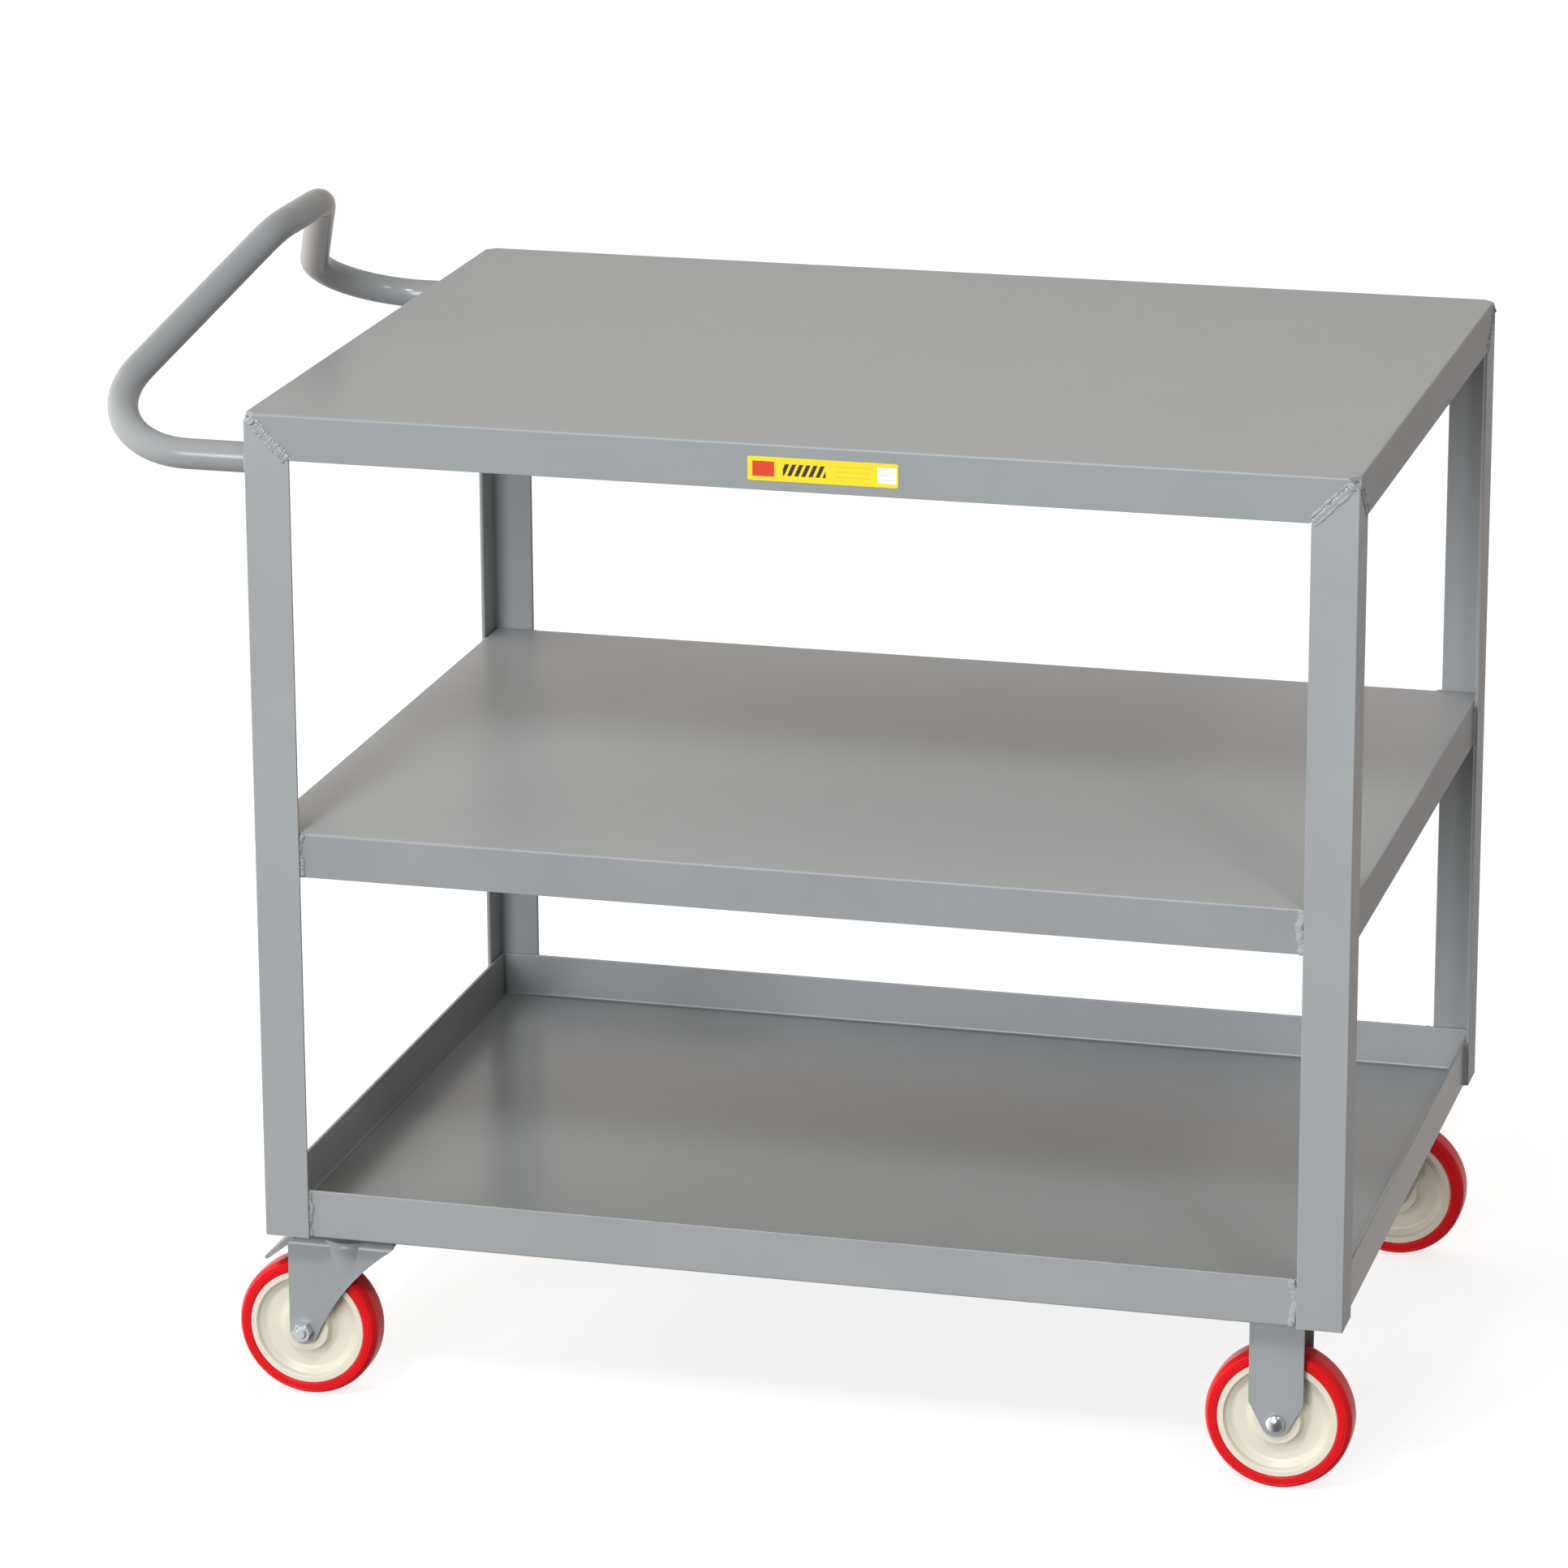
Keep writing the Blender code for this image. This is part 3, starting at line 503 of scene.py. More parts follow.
def make_moulded(name, colour, roughness, tone_change, bump, bend=1.5, glow=0.0, lustre=0.0):
    """Moulded plastic or polyurethane."""
    material, w, shader = new_material(name, {"Metallic": lustre, "IOR": bend})
    if glow:
        shader.inputs["Subsurface Weight"].default_value = glow
        shader.inputs["Subsurface Radius"].default_value = (0.6, 0.25, 0.2)
        shader.inputs["Subsurface Scale"].default_value = 0.003
    grain = use_group(w, sprayed_grain, Grain_Size=0.0009, Wave_Size=0.011, Tone_Size=0.03)
    dark = tuple(c * (1 - tone_change) for c in colour)
    light = tuple(min(1.0, c * (1 + tone_change)) for c in colour)
    tone = w.blend(w.span(grain.outputs["Tone"], 0.3, 0.7), dark, light)
    mixed = w.blend(w.span(grain.outputs["Speck"], 0.4, 0.65, 0.0, 0.3), tone, light)
    w.tree.links.new(mixed, shader.inputs["Base Color"])
    rough = w.span(grain.outputs["Gloss"], 0.3, 0.7, roughness - 0.04, roughness + 0.07)
    w.tree.links.new(rough, shader.inputs["Roughness"])
    raise_bump(w, shader, grain.outputs["Height"], bump, 0.00025)
    return material


GREY = (0.310, 0.315, 0.312)
# The shelves' copy of the grey paint is darker than the posts', as painted shade on the shelves' sides.
# Painted light lifts their tops, most of all on the middle shelf, to bring it up to the top deck's
# brightness.
SHELF_SHADED_GREY = (0.264, 0.270, 0.270)
enamel = make_enamel("grey_enamel", GREY, 0.34, 0.16)
deck_enamel = make_enamel("deck_enamel", SHELF_SHADED_GREY, 0.37, 0.10, dust=0.07, top_light=0.23)
lit_middle_enamel = make_enamel("lit_middle_enamel", SHELF_SHADED_GREY, 0.37, 0.10, dust=0.07, top_light=0.66)
tray_enamel = make_enamel("tray_enamel", GREY, 0.225, 0.07)
weld_enamel = make_enamel("weld_enamel", (0.318, 0.325, 0.322), 0.13, 0.34, grain_size=0.0014)
# The handle's copy of the grey paint is darker, as painted shade on the tube
shaded_handle_enamel = make_enamel("shaded_handle_enamel", (0.285, 0.290, 0.289), 0.215, 0.07)
caster_enamel = make_enamel("caster_enamel", (0.300, 0.306, 0.304), 0.315, 0.12, grain_size=0.0009)
bright_zinc = make_metal("bright_zinc", (0.84, 0.85, 0.87), 0.16)
pale_zinc = make_metal("pale_zinc", (0.86, 0.87, 0.88), 0.36)
dull_zinc = make_metal("dull_zinc", (0.62, 0.63, 0.64), 0.30)
ball_steel = make_metal("ball_steel", (0.66, 0.66, 0.67), 0.10, line_size=0.0002, bump=0.05)
red_tread = make_moulded("red_tread", (0.80, 0.014, 0.016), 0.16, 0.06, 0.05, 1.22, glow=0.05, lustre=0.2)
cream_core = make_moulded("cream_core", (0.72, 0.665, 0.525), 0.34, 0.025, 0.07, glow=0.05)
white_nylon = make_moulded("white_nylon", (0.78, 0.77, 0.72), 0.45, 0.04, 0.10)


def make_label_film():
    """Plain yellow film with a red block, a run of slanting dark bars, fine rules and a pale panel."""
    material, w, shader = new_material("label_film", {"Metallic": 0.0, "IOR": 1.45})
    low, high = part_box("rim_label")
    length, height = (high.x - low.x) * 1000, (high.z - low.z) * 1000
    place = w.add("ShaderNodeTexCoord").outputs["Object"]
    parts = w.add("ShaderNodeSeparateXYZ", {0: place})
    across = w.span(parts.outputs["X"], low.x, high.x, 0.0, length)
    upright = w.span(parts.outputs["Z"], low.z, high.z, 0.0, height)

    def inside(left, right, bottom, top):
        found = w.math("GREATER_THAN", across, left)
        found = w.math("MULTIPLY", found, w.math("LESS_THAN", across, right))
        found = w.math("MULTIPLY", found, w.math("GREATER_THAN", upright, bottom))
        return w.math("MULTIPLY", found, w.math("LESS_THAN", upright, top))

    grain = use_group(w, sprayed_grain, Grain_Size=0.0005, Wave_Size=0.006, Tone_Size=0.02)
    yellow = w.blend(grain.outputs["Tone"], (0.81, 0.625, 0.012), (0.83, 0.645, 0.016))
    slant = w.math("SUBTRACT", across, w.math("MULTIPLY", upright, 0.45))
    stripes = w.math("GREATER_THAN", w.math("PINGPONG", slant, 2.9), 1.2)
    bars = w.math("MULTIPLY", stripes, inside(29.0, 0.52 * length, 5.0, height - 5.0))
    rules = w.math("GREATER_THAN", w.math("PINGPONG", upright, 2.1), 1.62)
    lines = w.math("MULTIPLY", rules, inside(0.58 * length, length - 23.0, 3.6, height - 3.6))
    panel = inside(length - 17.0, length - 1.6, 3.4, height - 3.4)
    band = w.math("MULTIPLY", inside(length - 15.0, length - 3.6, 5.4, height - 5.4), rules)
    colour = w.blend(w.math("MULTIPLY", lines, 0.28), yellow, (0.42, 0.33, 0.06))
    colour = w.blend(inside(4.0, 22.0, 3.6, height - 3.6), colour, (0.66, 0.045, 0.018))
    colour = w.blend(bars, colour, (0.030, 0.026, 0.020))
    colour = w.blend(panel, colour, (0.84, 0.84, 0.82))
    colour = w.blend(w.math("MULTIPLY", band, 0.5), colour, (0.40, 0.41, 0.46))
    w.tree.links.new(colour, shader.inputs["Base Color"])
    rough = w.span(grain.outputs["Gloss"], 0.3, 0.7, 0.29, 0.36)
    w.tree.links.new(rough, shader.inputs["Roughness"])
    raise_bump(w, shader, grain.outputs["Height"], 0.05, 0.0002)
    return material


# Frame


def folded_sheet(name, length, width, depth, opens_down, turn_over):
    """A sheet folded down or up on all four sides, with rounded bends, as rings of rectangles."""
    arc = [math.radians(90 * i / 5) for i in range(6)]
    keep, lip = BEND_LEAD, SHEARED_EDGE
    rings = [(OUTER_BEND + keep, 0)]
    rings += [(OUTER_BEND * (1 - math.sin(a)), OUTER_BEND * (math.cos(a) - 1)) for a in arc]
    rings += [(0, -OUTER_BEND - keep), (0, -depth + lip), (lip * 0.3, -depth + lip * 0.3), (lip, -depth)]
    rings += [(SHEET - lip, -depth), (SHEET - lip * 0.3, -depth + lip * 0.3), (SHEET, -depth + lip)]
    inside = SHEET + INNER_BEND
    rings += [(SHEET, -inside - keep)]
    rings += [(inside - INNER_BEND * math.sin(a), -inside + INNER_BEND * math.cos(a)) for a in reversed(arc)]
    rings += [(inside + keep, -SHEET)]
    flip = 1 if opens_down else -1
    bm = bmesh.new()
    loops = []
    for inset, level in rings:
        x, y = length / 2 - inset, width / 2 - inset
        loops.append([
            bm.verts.new((deck_middle.x + sx * x, sy * y, turn_over + flip * level))
            for sx, sy in ((1, 1), (-1, 1), (-1, -1), (1, -1))
        ])
    for loop, following in zip(loops, loops[1:]):
        for i in range(4):
            j = (i + 1) % 4
            bm.faces.new((loop[i], loop[j], following[j], following[i]))
    bm.faces.new(loops[0])
    bm.faces.new(reversed(loops[-1]))
    return bm


def deck_corner(sx, sy):
    return Vector((top_high.x if sx > 0 else top_low.x, sy * top_high.y, deck_height))


def mitre_notch(sx, sy):
    """The room for a mitred post and half of its weld, under a corner of the top shelf."""
    beyond, rise = PAST, WELD_GROOVE
    tip = deck_corner(sx, sy) + Vector((0, 0, rise))
    fall = POST_LEG + beyond + rise
    outer_x, outer_y = tip.x + sx * beyond, tip.y + sy * beyond
    inner_x, inner_y = tip.x - sx * fall, tip.y - sy * fall
    bm = bmesh.new()
    apex = bm.verts.new((outer_x, outer_y, tip.z + beyond))
    corners = ((outer_x, outer_y), (inner_x, outer_y), (inner_x, inner_y), (outer_x, inner_y))
    ring = [bm.verts.new((x, y, tip.z - fall)) for x, y in corners]
    bm.faces.new(ring)
    for i in range(4):
        bm.faces.new((ring[i], ring[(i + 1) % 4], apex))
    return bm


CORNERS = {
    "front_left": (1, 1),
    "front_right": (1, -1),
    "rear_left": (-1, 1),
    "rear_right": (-1, -1),
}


def build_levels():
    size = top_high - top_low
    bm = folded_sheet("top", size.x, size.y, size.z, True, deck_height)
    for sx, sy in CORNERS.values():
        point = deck_corner(sx, sy) - Vector((0, 0, CORNER_CLIP))
        cut_off(bm, point, Vector((sx, sy, 1)).normalized())
    top = loose_object(bm, "top_shelf_sheet")
    for sx, sy in CORNERS.values():
        combine(top, mitre_notch(sx, sy), "DIFFERENCE")
    finish_piece(shade(top), deck_enamel, "frame", "grey_enamel", "top_shelf")
    low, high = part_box("middle_shelf")
    size = high - low
    middle = loose_object(folded_sheet("middle", size.x, size.y, size.z, True, high.z), "middle_shelf_sheet")
    finish_piece(shade(middle), lit_middle_enamel, "frame", "grey_enamel", "middle_shelf")
    low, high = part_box("bottom_tray")
    size = high - low
    tray = loose_object(folded_sheet("tray", size.x, size.y, size.z, False, low.z), "bottom_tray_sheet")
    finish_piece(shade(tray), tray_enamel, "frame", "grey_enamel", "bottom_tray")


def build_posts():
    """Rolled angle iron: a crisp heel, a filleted inside corner and rounded toes."""
    t, leg = POST_THICKNESS, POST_LEG
    heel_to_toe = [(0, 0, POST_HEEL), (leg, 0, POST_EDGE), (leg, t, POST_TOE)]
    toe_to_heel = [(t, t, POST_FILLET), (t, leg, POST_TOE), (0, leg, POST_EDGE)]
    section = outline_with_fillets(heel_to_toe + toe_to_heel)
    for name, (sx, sy) in CORNERS.items():
        low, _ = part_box(f"post_{name}")
        corner = deck_corner(sx, sy)
        outline = [(corner.x - sx * a, corner.y - sy * b) for a, b in section]
        bm = outward(extruded(outline, low.z, deck_height + CORNER_CLIP, "XY"))
        seat = corner - Vector((0, 0, WELD_GROOVE))
        cut_off(bm, seat, Vector((-sx, 0, 1)).normalized())
        cut_off(bm, seat, Vector((0, -sy, 1)).normalized())
        cut_off(bm, corner - Vector((0, 0, CORNER_CLIP)), Vector((sx, sy, 1)).normalized())
        post = shade(loose_object(bm, f"post_{name}_angle"))
        finish_piece(post, enamel, "frame", "grey_enamel", f"post_{name}")


# Pieces made with geometry nodes


def new_maker(name, inputs):
    """A geometry tree with named inputs. Returns it with its wiring, its input node and its output node."""
    tree = bpy.data.node_groups.new(name, "GeometryNodeTree")
    tree.interface.new_socket("Geometry", in_out="INPUT", socket_type="NodeSocketGeometry")
    for label, (kind, value) in inputs.items():
        socket = tree.interface.new_socket(label, in_out="INPUT", socket_type=f"NodeSocket{kind}")
        if value is not None:
            socket.default_value = value
    tree.interface.new_socket("Geometry", in_out="OUTPUT", socket_type="NodeSocketGeometry")
    w = Wiring(tree)
    return tree, w, w.add("NodeGroupInput"), w.add("NodeGroupOutput")


def finish_tree(w, last, given, made):
    """Smooths the shape that a geometry tree has made and gives it its finish."""
    smooth = w.add("GeometryNodeSetShadeSmooth", {0: last.outputs[0]})
    finish = {"Geometry": smooth.outputs[0], "Material": given.outputs["Finish"]}
    painted = w.add("GeometryNodeSetMaterial", finish)
    w.tree.links.new(painted.outputs[0], made.inputs[0])


def run_maker(obj, tree, **values):
    """Runs a geometry tree on obj with its inputs set, and keeps the plain mesh that comes out."""
    modifier = obj.modifiers.new(tree.name, "NODES")
    modifier.node_group = tree
    names = {s.name: s.identifier for s in tree.interface.items_tree if s.in_out == "INPUT"}
    for label, value in values.items():
        modifier[names[label.replace("_", " ")]] = value
    return settle_modifiers(obj)


def make_bead_tree():
    """Weld bead: overlapping flat drops laid along each path, turned to the surface and a little uneven."""
    tree, w, given, made = new_maker(
        "weld_bead",
        {
            "Pitch": ("Float", 0.0019),
            "Length": ("Float", 0.0044),
            "Width": ("Float", 0.006),
            "Height": ("Float", 0.0012),
            "Unevenness": ("Float", 0.18),
            "Seed": ("Int", 3),
            "Finish": ("Material", None),
        },
    )
    curve = w.add("GeometryNodeMeshToCurve", {"Mesh": given.outputs["Geometry"]})
    spacing = {"Curve": curve.outputs[0], "Length": given.outputs["Pitch"]}
    points = w.add("GeometryNodeResampleCurve", spacing, mode="LENGTH")
    normal = w.add("GeometryNodeInputNamedAttribute", {"Name": "face_normal"}, data_type="FLOAT_VECTOR")
    lean = w.add("FunctionNodeAlignRotationToVector", {"Vector": normal.outputs[0]}, axis="Z")
    tangent = w.add("GeometryNodeInputTangent")
    turn = w.add(
        "FunctionNodeAlignRotationToVector",
        {"Rotation": lean.outputs[0], "Vector": tangent.outputs[0]},
        axis="X",
        pivot_axis="Z",
    )
    wobble = w.add(
        "FunctionNodeRandomValue",
        {0: (-0.05, -0.12, -0.22), 1: (0.05, 0.12, 0.22), "Seed": given.outputs["Seed"]},
        data_type="FLOAT_VECTOR",
    )
    spin = w.add("FunctionNodeEulerToRotation", {0: wobble.outputs[0]})
    rotation = w.add(
        "FunctionNodeRotateRotation", {0: turn.outputs[0], 1: spin.outputs[0]}, rotation_space="LOCAL"
    )
    low = w.math("SUBTRACT", 1.0, given.outputs["Unevenness"])
    high = w.math("ADD", 1.0, given.outputs["Unevenness"])
    low_size = w.add("ShaderNodeCombineXYZ", {0: low, 1: low, 2: low})
    high_size = w.add("ShaderNodeCombineXYZ", {0: high, 1: high, 2: high})
    jitter = w.add(
        "FunctionNodeRandomValue",
        {0: low_size.outputs[0], 1: high_size.outputs[0], "Seed": given.outputs["Seed"]},
        data_type="FLOAT_VECTOR",
    )
    size = w.add(
        "ShaderNodeCombineXYZ",
        {0: given.outputs["Length"], 1: given.outputs["Width"], 2: given.outputs["Height"]},
    )
    scale = w.add("ShaderNodeVectorMath", {0: size.outputs[0], 1: jitter.outputs[0]}, operation="MULTIPLY")
    drop = w.add("GeometryNodeMeshUVSphere", {"Segments": 10, "Rings": 5, "Radius": 0.5})
    laid = w.add(
        "GeometryNodeInstanceOnPoints",
        {
            "Points": points.outputs[0],
            "Instance": drop.outputs[0],
            "Rotation": rotation.outputs[0],
            "Scale": scale.outputs[0],
        },
    )
    real = w.add("GeometryNodeRealizeInstances", {0: laid.outputs[0]})
    finish_tree(w, real, given, made)
    return tree


def make_ball_tree():
    """A ring of bearing balls."""
    tree, w, given, made = new_maker(
        "ball_ring",
        {
            "Count": ("Int", 16),
            "Ring Radius": ("Float", 0.0185),
            "Ball Radius": ("Float", 0.003),
            "Centre": ("Vector", (0, 0, 0)),
            "Finish": ("Material", None),
        },
    )
    around = {"Vertices": given.outputs["Count"], "Radius": given.outputs["Ring Radius"]}
    circle = w.add("GeometryNodeMeshCircle", around)
    sphere = {"Segments": 16, "Rings": 9, "Radius": given.outputs["Ball Radius"]}
    ball = w.add("GeometryNodeMeshUVSphere", sphere)
    laid = w.add("GeometryNodeInstanceOnPoints", {"Points": circle.outputs[0], "Instance": ball.outputs[0]})
    real = w.add("GeometryNodeRealizeInstances", {0: laid.outputs[0]})
    placed = {"Geometry": real.outputs[0], "Translation": given.outputs["Centre"]}
    finish_tree(w, w.add("GeometryNodeTransform", placed), given, made)
    return tree


def make_tube_tree():
    """A bent tube: its corner points joined by straight runs with equal bends, swept with a circle."""
    tree, w, given, made = new_maker(
        "bent_tube",
        {
            "Bend Radius": ("Float", 0.0762),
            "Tube Radius": ("Float", 0.0127),
            "Bend Steps": ("Int", 20),
            "Sides": ("Int", 40),
            "Finish": ("Material", None),
        },
    )
    line = w.add("GeometryNodeMeshToCurve", {"Mesh": given.outputs["Geometry"]})
    bends = {"Radius": given.outputs["Bend Radius"], "Count": given.outputs["Bend Steps"]}
    bent = w.add("GeometryNodeFilletCurve", {"Curve": line.outputs[0], **bends}, mode="POLY")
    round_section = {"Resolution": given.outputs["Sides"], "Radius": given.outputs["Tube Radius"]}
    ring = w.add("GeometryNodeCurvePrimitiveCircle", round_section)
    sweep = {"Curve": bent.outputs[0], "Profile Curve": ring.outputs[0], "Fill Caps": True}
    finish_tree(w, w.add("GeometryNodeCurveToMesh", sweep), given, made)
    return tree


def line_object(name, points, edges):
    """A mesh of bare points and edges, for a geometry tree to follow."""
    mesh = bpy.data.meshes.new(name)
    mesh.from_pydata([tuple(p) for p in points], edges, [])
    obj = bpy.data.objects.new(name, mesh)
    bpy.context.scene.collection.objects.link(obj)
    return obj


bead_tree = make_bead_tree()
ball_tree = make_ball_tree()
tube_tree = make_tube_tree()


def lay(name, paths, finish, seed, unevenness=0.18, **drop):
    """Lays weld beads along paths of (points, face normals)."""
    points, edges, normals = [], [], []
    for path, facing in paths:
        start = len(points)
        points += path
        edges += [(start + i, start + i + 1) for i in range(len(path) - 1)]
        normals += facing if isinstance(facing, list) else [facing] * len(path)
    obj = line_object(name, points, edges)
    stored = obj.data.attributes.new("face_normal", "FLOAT_VECTOR", "POINT")
    stored.data.foreach_set("vector", [part for normal in normals for part in normal])
    run_maker(obj, bead_tree, Finish=finish, Seed=seed, Unevenness=unevenness, **drop)
    finish_piece(obj, finish, "frame", "grey_enamel")


def weld_mitres():
    """A broad flat bead along each mitre with a ripple at each side, and a cap on each clipped corner."""
    bands, ridges, caps = [], [], []
    for sx, sy in CORNERS.values():
        corner = deck_corner(sx, sy)
        for lane, runs, sink in ((0, bands, WELD_SINK), (-WELD_LANE, ridges, 0), (WELD_LANE, ridges, 0)):
            step = lane / math.sqrt(2)
            distances = (WELD_START + abs(lane), POST_LEG - WELD_STOP)
            path = [corner + Vector((-sx * (d + step), -sy * sink, -d + step)) for d in distances]
            runs.append((path, Vector((0, sy, 0))))
            path = [corner + Vector((-sx * sink, -sy * (d + step), -d + step)) for d in distances]
            runs.append((path, Vector((sx, 0, 0))))
        slope = Vector((sx, sy, 1)).normalized()
        middle = corner - slope * (CORNER_CLIP / math.sqrt(3) + CAP_SINK) - Vector((0, 0, CAP_DROP))
        side = slope.cross(Vector((0, 0, 1))).normalized() * CAP_HALF
        caps.append(([middle - side, middle + side], slope))
    lay("mitre_welds", bands, weld_enamel, 5, Width=0.0094, Length=0.0046, Height=0.0027, Pitch=0.0021)
    ripple = {"Width": 0.0028, "Length": 0.0040, "Height": 0.0017, "Pitch": 0.0024}
    lay("mitre_ripples", ridges, weld_enamel, 8, 0.58, **ripple)
    lay("corner_caps", caps, enamel, 2, 0.05, Width=0.0120, Length=0.0100, Height=0.0022, Pitch=0.0030)


def weld_shelves():
    """Upright beads where the middle shelf and the tray meet the posts, wandering a little."""
    narrow, broad = [], []
    for level in ("middle_shelf", "bottom_tray"):
        low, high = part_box(level)
        bottom, top = low.z + RIM_WELD_INSET, high.z - RIM_WELD_INSET
        rises = [bottom + (top - bottom) * i / 12 for i in range(13)]
        for sx, sy in CORNERS.values():
            face_x = high.x if sx > 0 else low.x
            toe_x = deck_corner(sx, sy).x - sx * POST_LEG
            toe_y = sy * (top_high.y - POST_LEG)
            wander = [0.0013 * math.sin(210 * z + 5 * sx) + 0.0006 * math.sin(560 * z) for z in rises]
            reach, runs = (RIM_WELD_REACH, broad) if sx > 0 else (RIM_WELD_NEAR, narrow)
            flat, edge = [], []
            for z, aside in zip(rises, wander):
                flat.append(Vector((toe_x - sx * (reach + aside), sy * high.y, z)))
                edge.append(Vector((face_x + sx * 0.0002, toe_y - sy * (0.0004 + aside / 2), z)))
            runs.append((flat, Vector((-0.35 * sx, sy, 0)).normalized()))
            narrow.append((edge, Vector((sx, -sy, 0)).normalized()))
    lay("shelf_welds", narrow, enamel, 11, 0.08, Width=0.0056, Length=0.0060, Height=0.0034, Pitch=0.0026)
    lay("end_welds", broad, enamel, 6, 0.14, Width=0.0084, Length=0.0072, Height=0.0022, Pitch=0.0026)


def weld_handle():
    rings = []
    end_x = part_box("push_handle")[1].x
    for sy in (1, -1):
        centre = Vector((end_x, sy * (top_high.y - POST_LEG / 2), deck_height - HANDLE_DROP))
        turns = [2 * math.pi * i / 24 for i in range(25)]
        spokes = [Vector((0, math.cos(t), math.sin(t))) for t in turns]
        path = [centre + s * (TUBE_RADIUS + 0.0006) + Vector((-0.0008, 0, 0)) for s in spokes]
        rings.append((path, [(s + Vector((-1, 0, 0))).normalized() for s in spokes]))
    lay("handle_welds", rings, weld_enamel, 4, Width=0.0052, Length=0.0036, Height=0.0036, Pitch=0.0020)


def weld_casters():
    seams = []
    for name, (sx, _) in CORNERS.items():
        node = f"{name}_rigid_fork" if sx > 0 else f"{name}_swivel_plate"
        low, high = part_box(node)
        for y, out in ((low.y, -1), (high.y, 1)):
            ends = (low.x + SEAM_INSET, high.x - SEAM_INSET)
            path = [Vector((x, y + out * 0.0004, high.z - 0.0002)) for x in ends]
            seams.append((path, Vector((0, out, -1)).normalized()))
    lay("caster_welds", seams, weld_enamel, 9, Width=0.0056, Length=0.0040, Height=0.0034, Pitch=0.0022)


def build_handle():
    low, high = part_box("push_handle")
    arm_y = top_high.y - POST_LEG / 2
    arm_z = deck_height - HANDLE_DROP
    riser = Vector((HANDLE_LEAN, arm_y - GRIP_WIDTH / 2, HANDLE_RISE)).normalized()
    half_turn = math.acos(-riser.x) / 2
    bend_x = low.x + TUBE_RADIUS + BEND_RADIUS - BEND_RADIUS * math.tan(half_turn)
    grip_x = bend_x + HANDLE_LEAN
    half = [
        Vector((high.x + 0.0002, arm_y, arm_z)),
        Vector((bend_x, arm_y, arm_z)),
        Vector((grip_x, GRIP_WIDTH / 2, arm_z + HANDLE_RISE)),
    ]
    points = half + [Vector((p.x, -p.y, p.z)) for p in reversed(half)]
    tube = line_object("push_handle_tube", points, [(i, i + 1) for i in range(len(points) - 1)])
    run_maker(tube, tube_tree, Bend_Radius=BEND_RADIUS, Tube_Radius=TUBE_RADIUS, Finish=shaded_handle_enamel)
    tube.data.set_sharp_from_angle(angle=math.radians(40))
    finish_piece(tube, shaded_handle_enamel, "frame", "grey_enamel", "push_handle")


def build_label():
    low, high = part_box("rim_label")
    outline = rounded_rectangle((low.x, low.z), (high.x, high.z), LABEL_CORNER)
    film = loose_object(extruded(outline, low.y, high.y + LABEL_PROUD, "XZ"), "rim_label_film")
    soften(film, 0.0001, 60, 1)
    finish_piece(shade(film), make_label_film(), "frame", "yellow_film", "rim_label")


# Casters


def channel_section(crown):
    """Section of a fork bent from one sheet, in Y and Z from the axle."""
    outer, gap = FORK_HALF, FORK_GAP / 2
    foot = -FORK_TIP_RADIUS - 0.002
    inner_top = crown - FORK_THICKNESS
    return outline_with_fillets(
        [
            (outer, foot, 0),
            (outer, crown, FORK_BEND),
            (-outer, crown, FORK_BEND),
            (-outer, foot, 0),
            (-gap, foot, 0),
            (-gap, inner_top, FORK_BEND - FORK_THICKNESS),
            (gap, inner_top, FORK_BEND - FORK_THICKNESS),
            (gap, foot, 0),
        ],
        steps=8,
    )


def leg_tip(start, end, steps):
    turns = (math.radians(start + (end - start) * i / steps) for i in range(steps + 1))
    return [(FORK_TIP_RADIUS * math.cos(t), FORK_TIP_RADIUS * math.sin(t), 0) for t in turns]


def axle_bore():
    reach = 2 * FORK_HALF
    radius = AXLE_RADIUS + 0.0003
    return turned([(0, -reach), (radius, -reach), (radius, reach), (0, reach)], 32, axis="Y")


def mounting_plate(size, top):
    """A plate with rounded corners, centred on Z."""
    x, y = size.x / 2, size.y / 2
    outline = rounded_rectangle((-x, -y), (x, y), PLATE_CORNER)
    return extruded(outline, top - PLATE_THICKNESS, top, "XY")


def build_rigid_fork(name, axle):
    """A straight channel whose crown is the plate under the tray."""
    low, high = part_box(name)
    plate_top = high.z - axle.z
    crown = plate_top - 0.0002
    half = RIGID_LEG_WIDTH / 2
    taper = RIGID_TAPER_FROM
    outline = [(-half, crown + 0.001, 0), (-half, taper, 0.003)] + leg_tip(-155, -25, 16)
    outline += [(half, taper, 0.003), (half, crown + 0.001, 0)]
    fork = loose_object(extruded(channel_section(crown), -half - 0.004, half + 0.004, "YZ"), f"{name}_steel")
    combine(fork, extruded(outline_with_fillets(outline), -2 * FORK_HALF, 2 * FORK_HALF, "XZ"), "INTERSECT")
    soften(fork, 0.0004, 50)
    combine(fork, mounting_plate(high - low, plate_top), "UNION")
    combine(fork, axle_bore(), "DIFFERENCE")
    fork.data.transform(Matrix.Translation(axle))
    finish_piece(shade(fork, 32), caster_enamel, "frame", "grey_enamel", name)


def swivel_outline(crown):
    """Side view of a swivel leg from the axle: upright at the rear, its front edge swept up and hollowed."""
    tip = leg_tip(-180, -30, 18)
    front = Vector((SWIVEL_LEAD + CROWN_FORWARD, crown - 0.0046))
    last = Vector(tip[-1][:2])
    along = front - last
    left = Vector((-along.y, along.x)).normalized()
    outline = [(-FORK_TIP_RADIUS, crown + 0.0001, 0.0085)] + tip
    for i in range(1, 12):
        share = i / 12
        outline.append((*(last + along * share + left * LEG_EDGE_HOLLOW * 4 * share * (1 - share)), 0))
    outline += [(*front, 0.002), (front.x, crown + 0.0001, 0.0025)]
    return outline_with_fillets(outline)


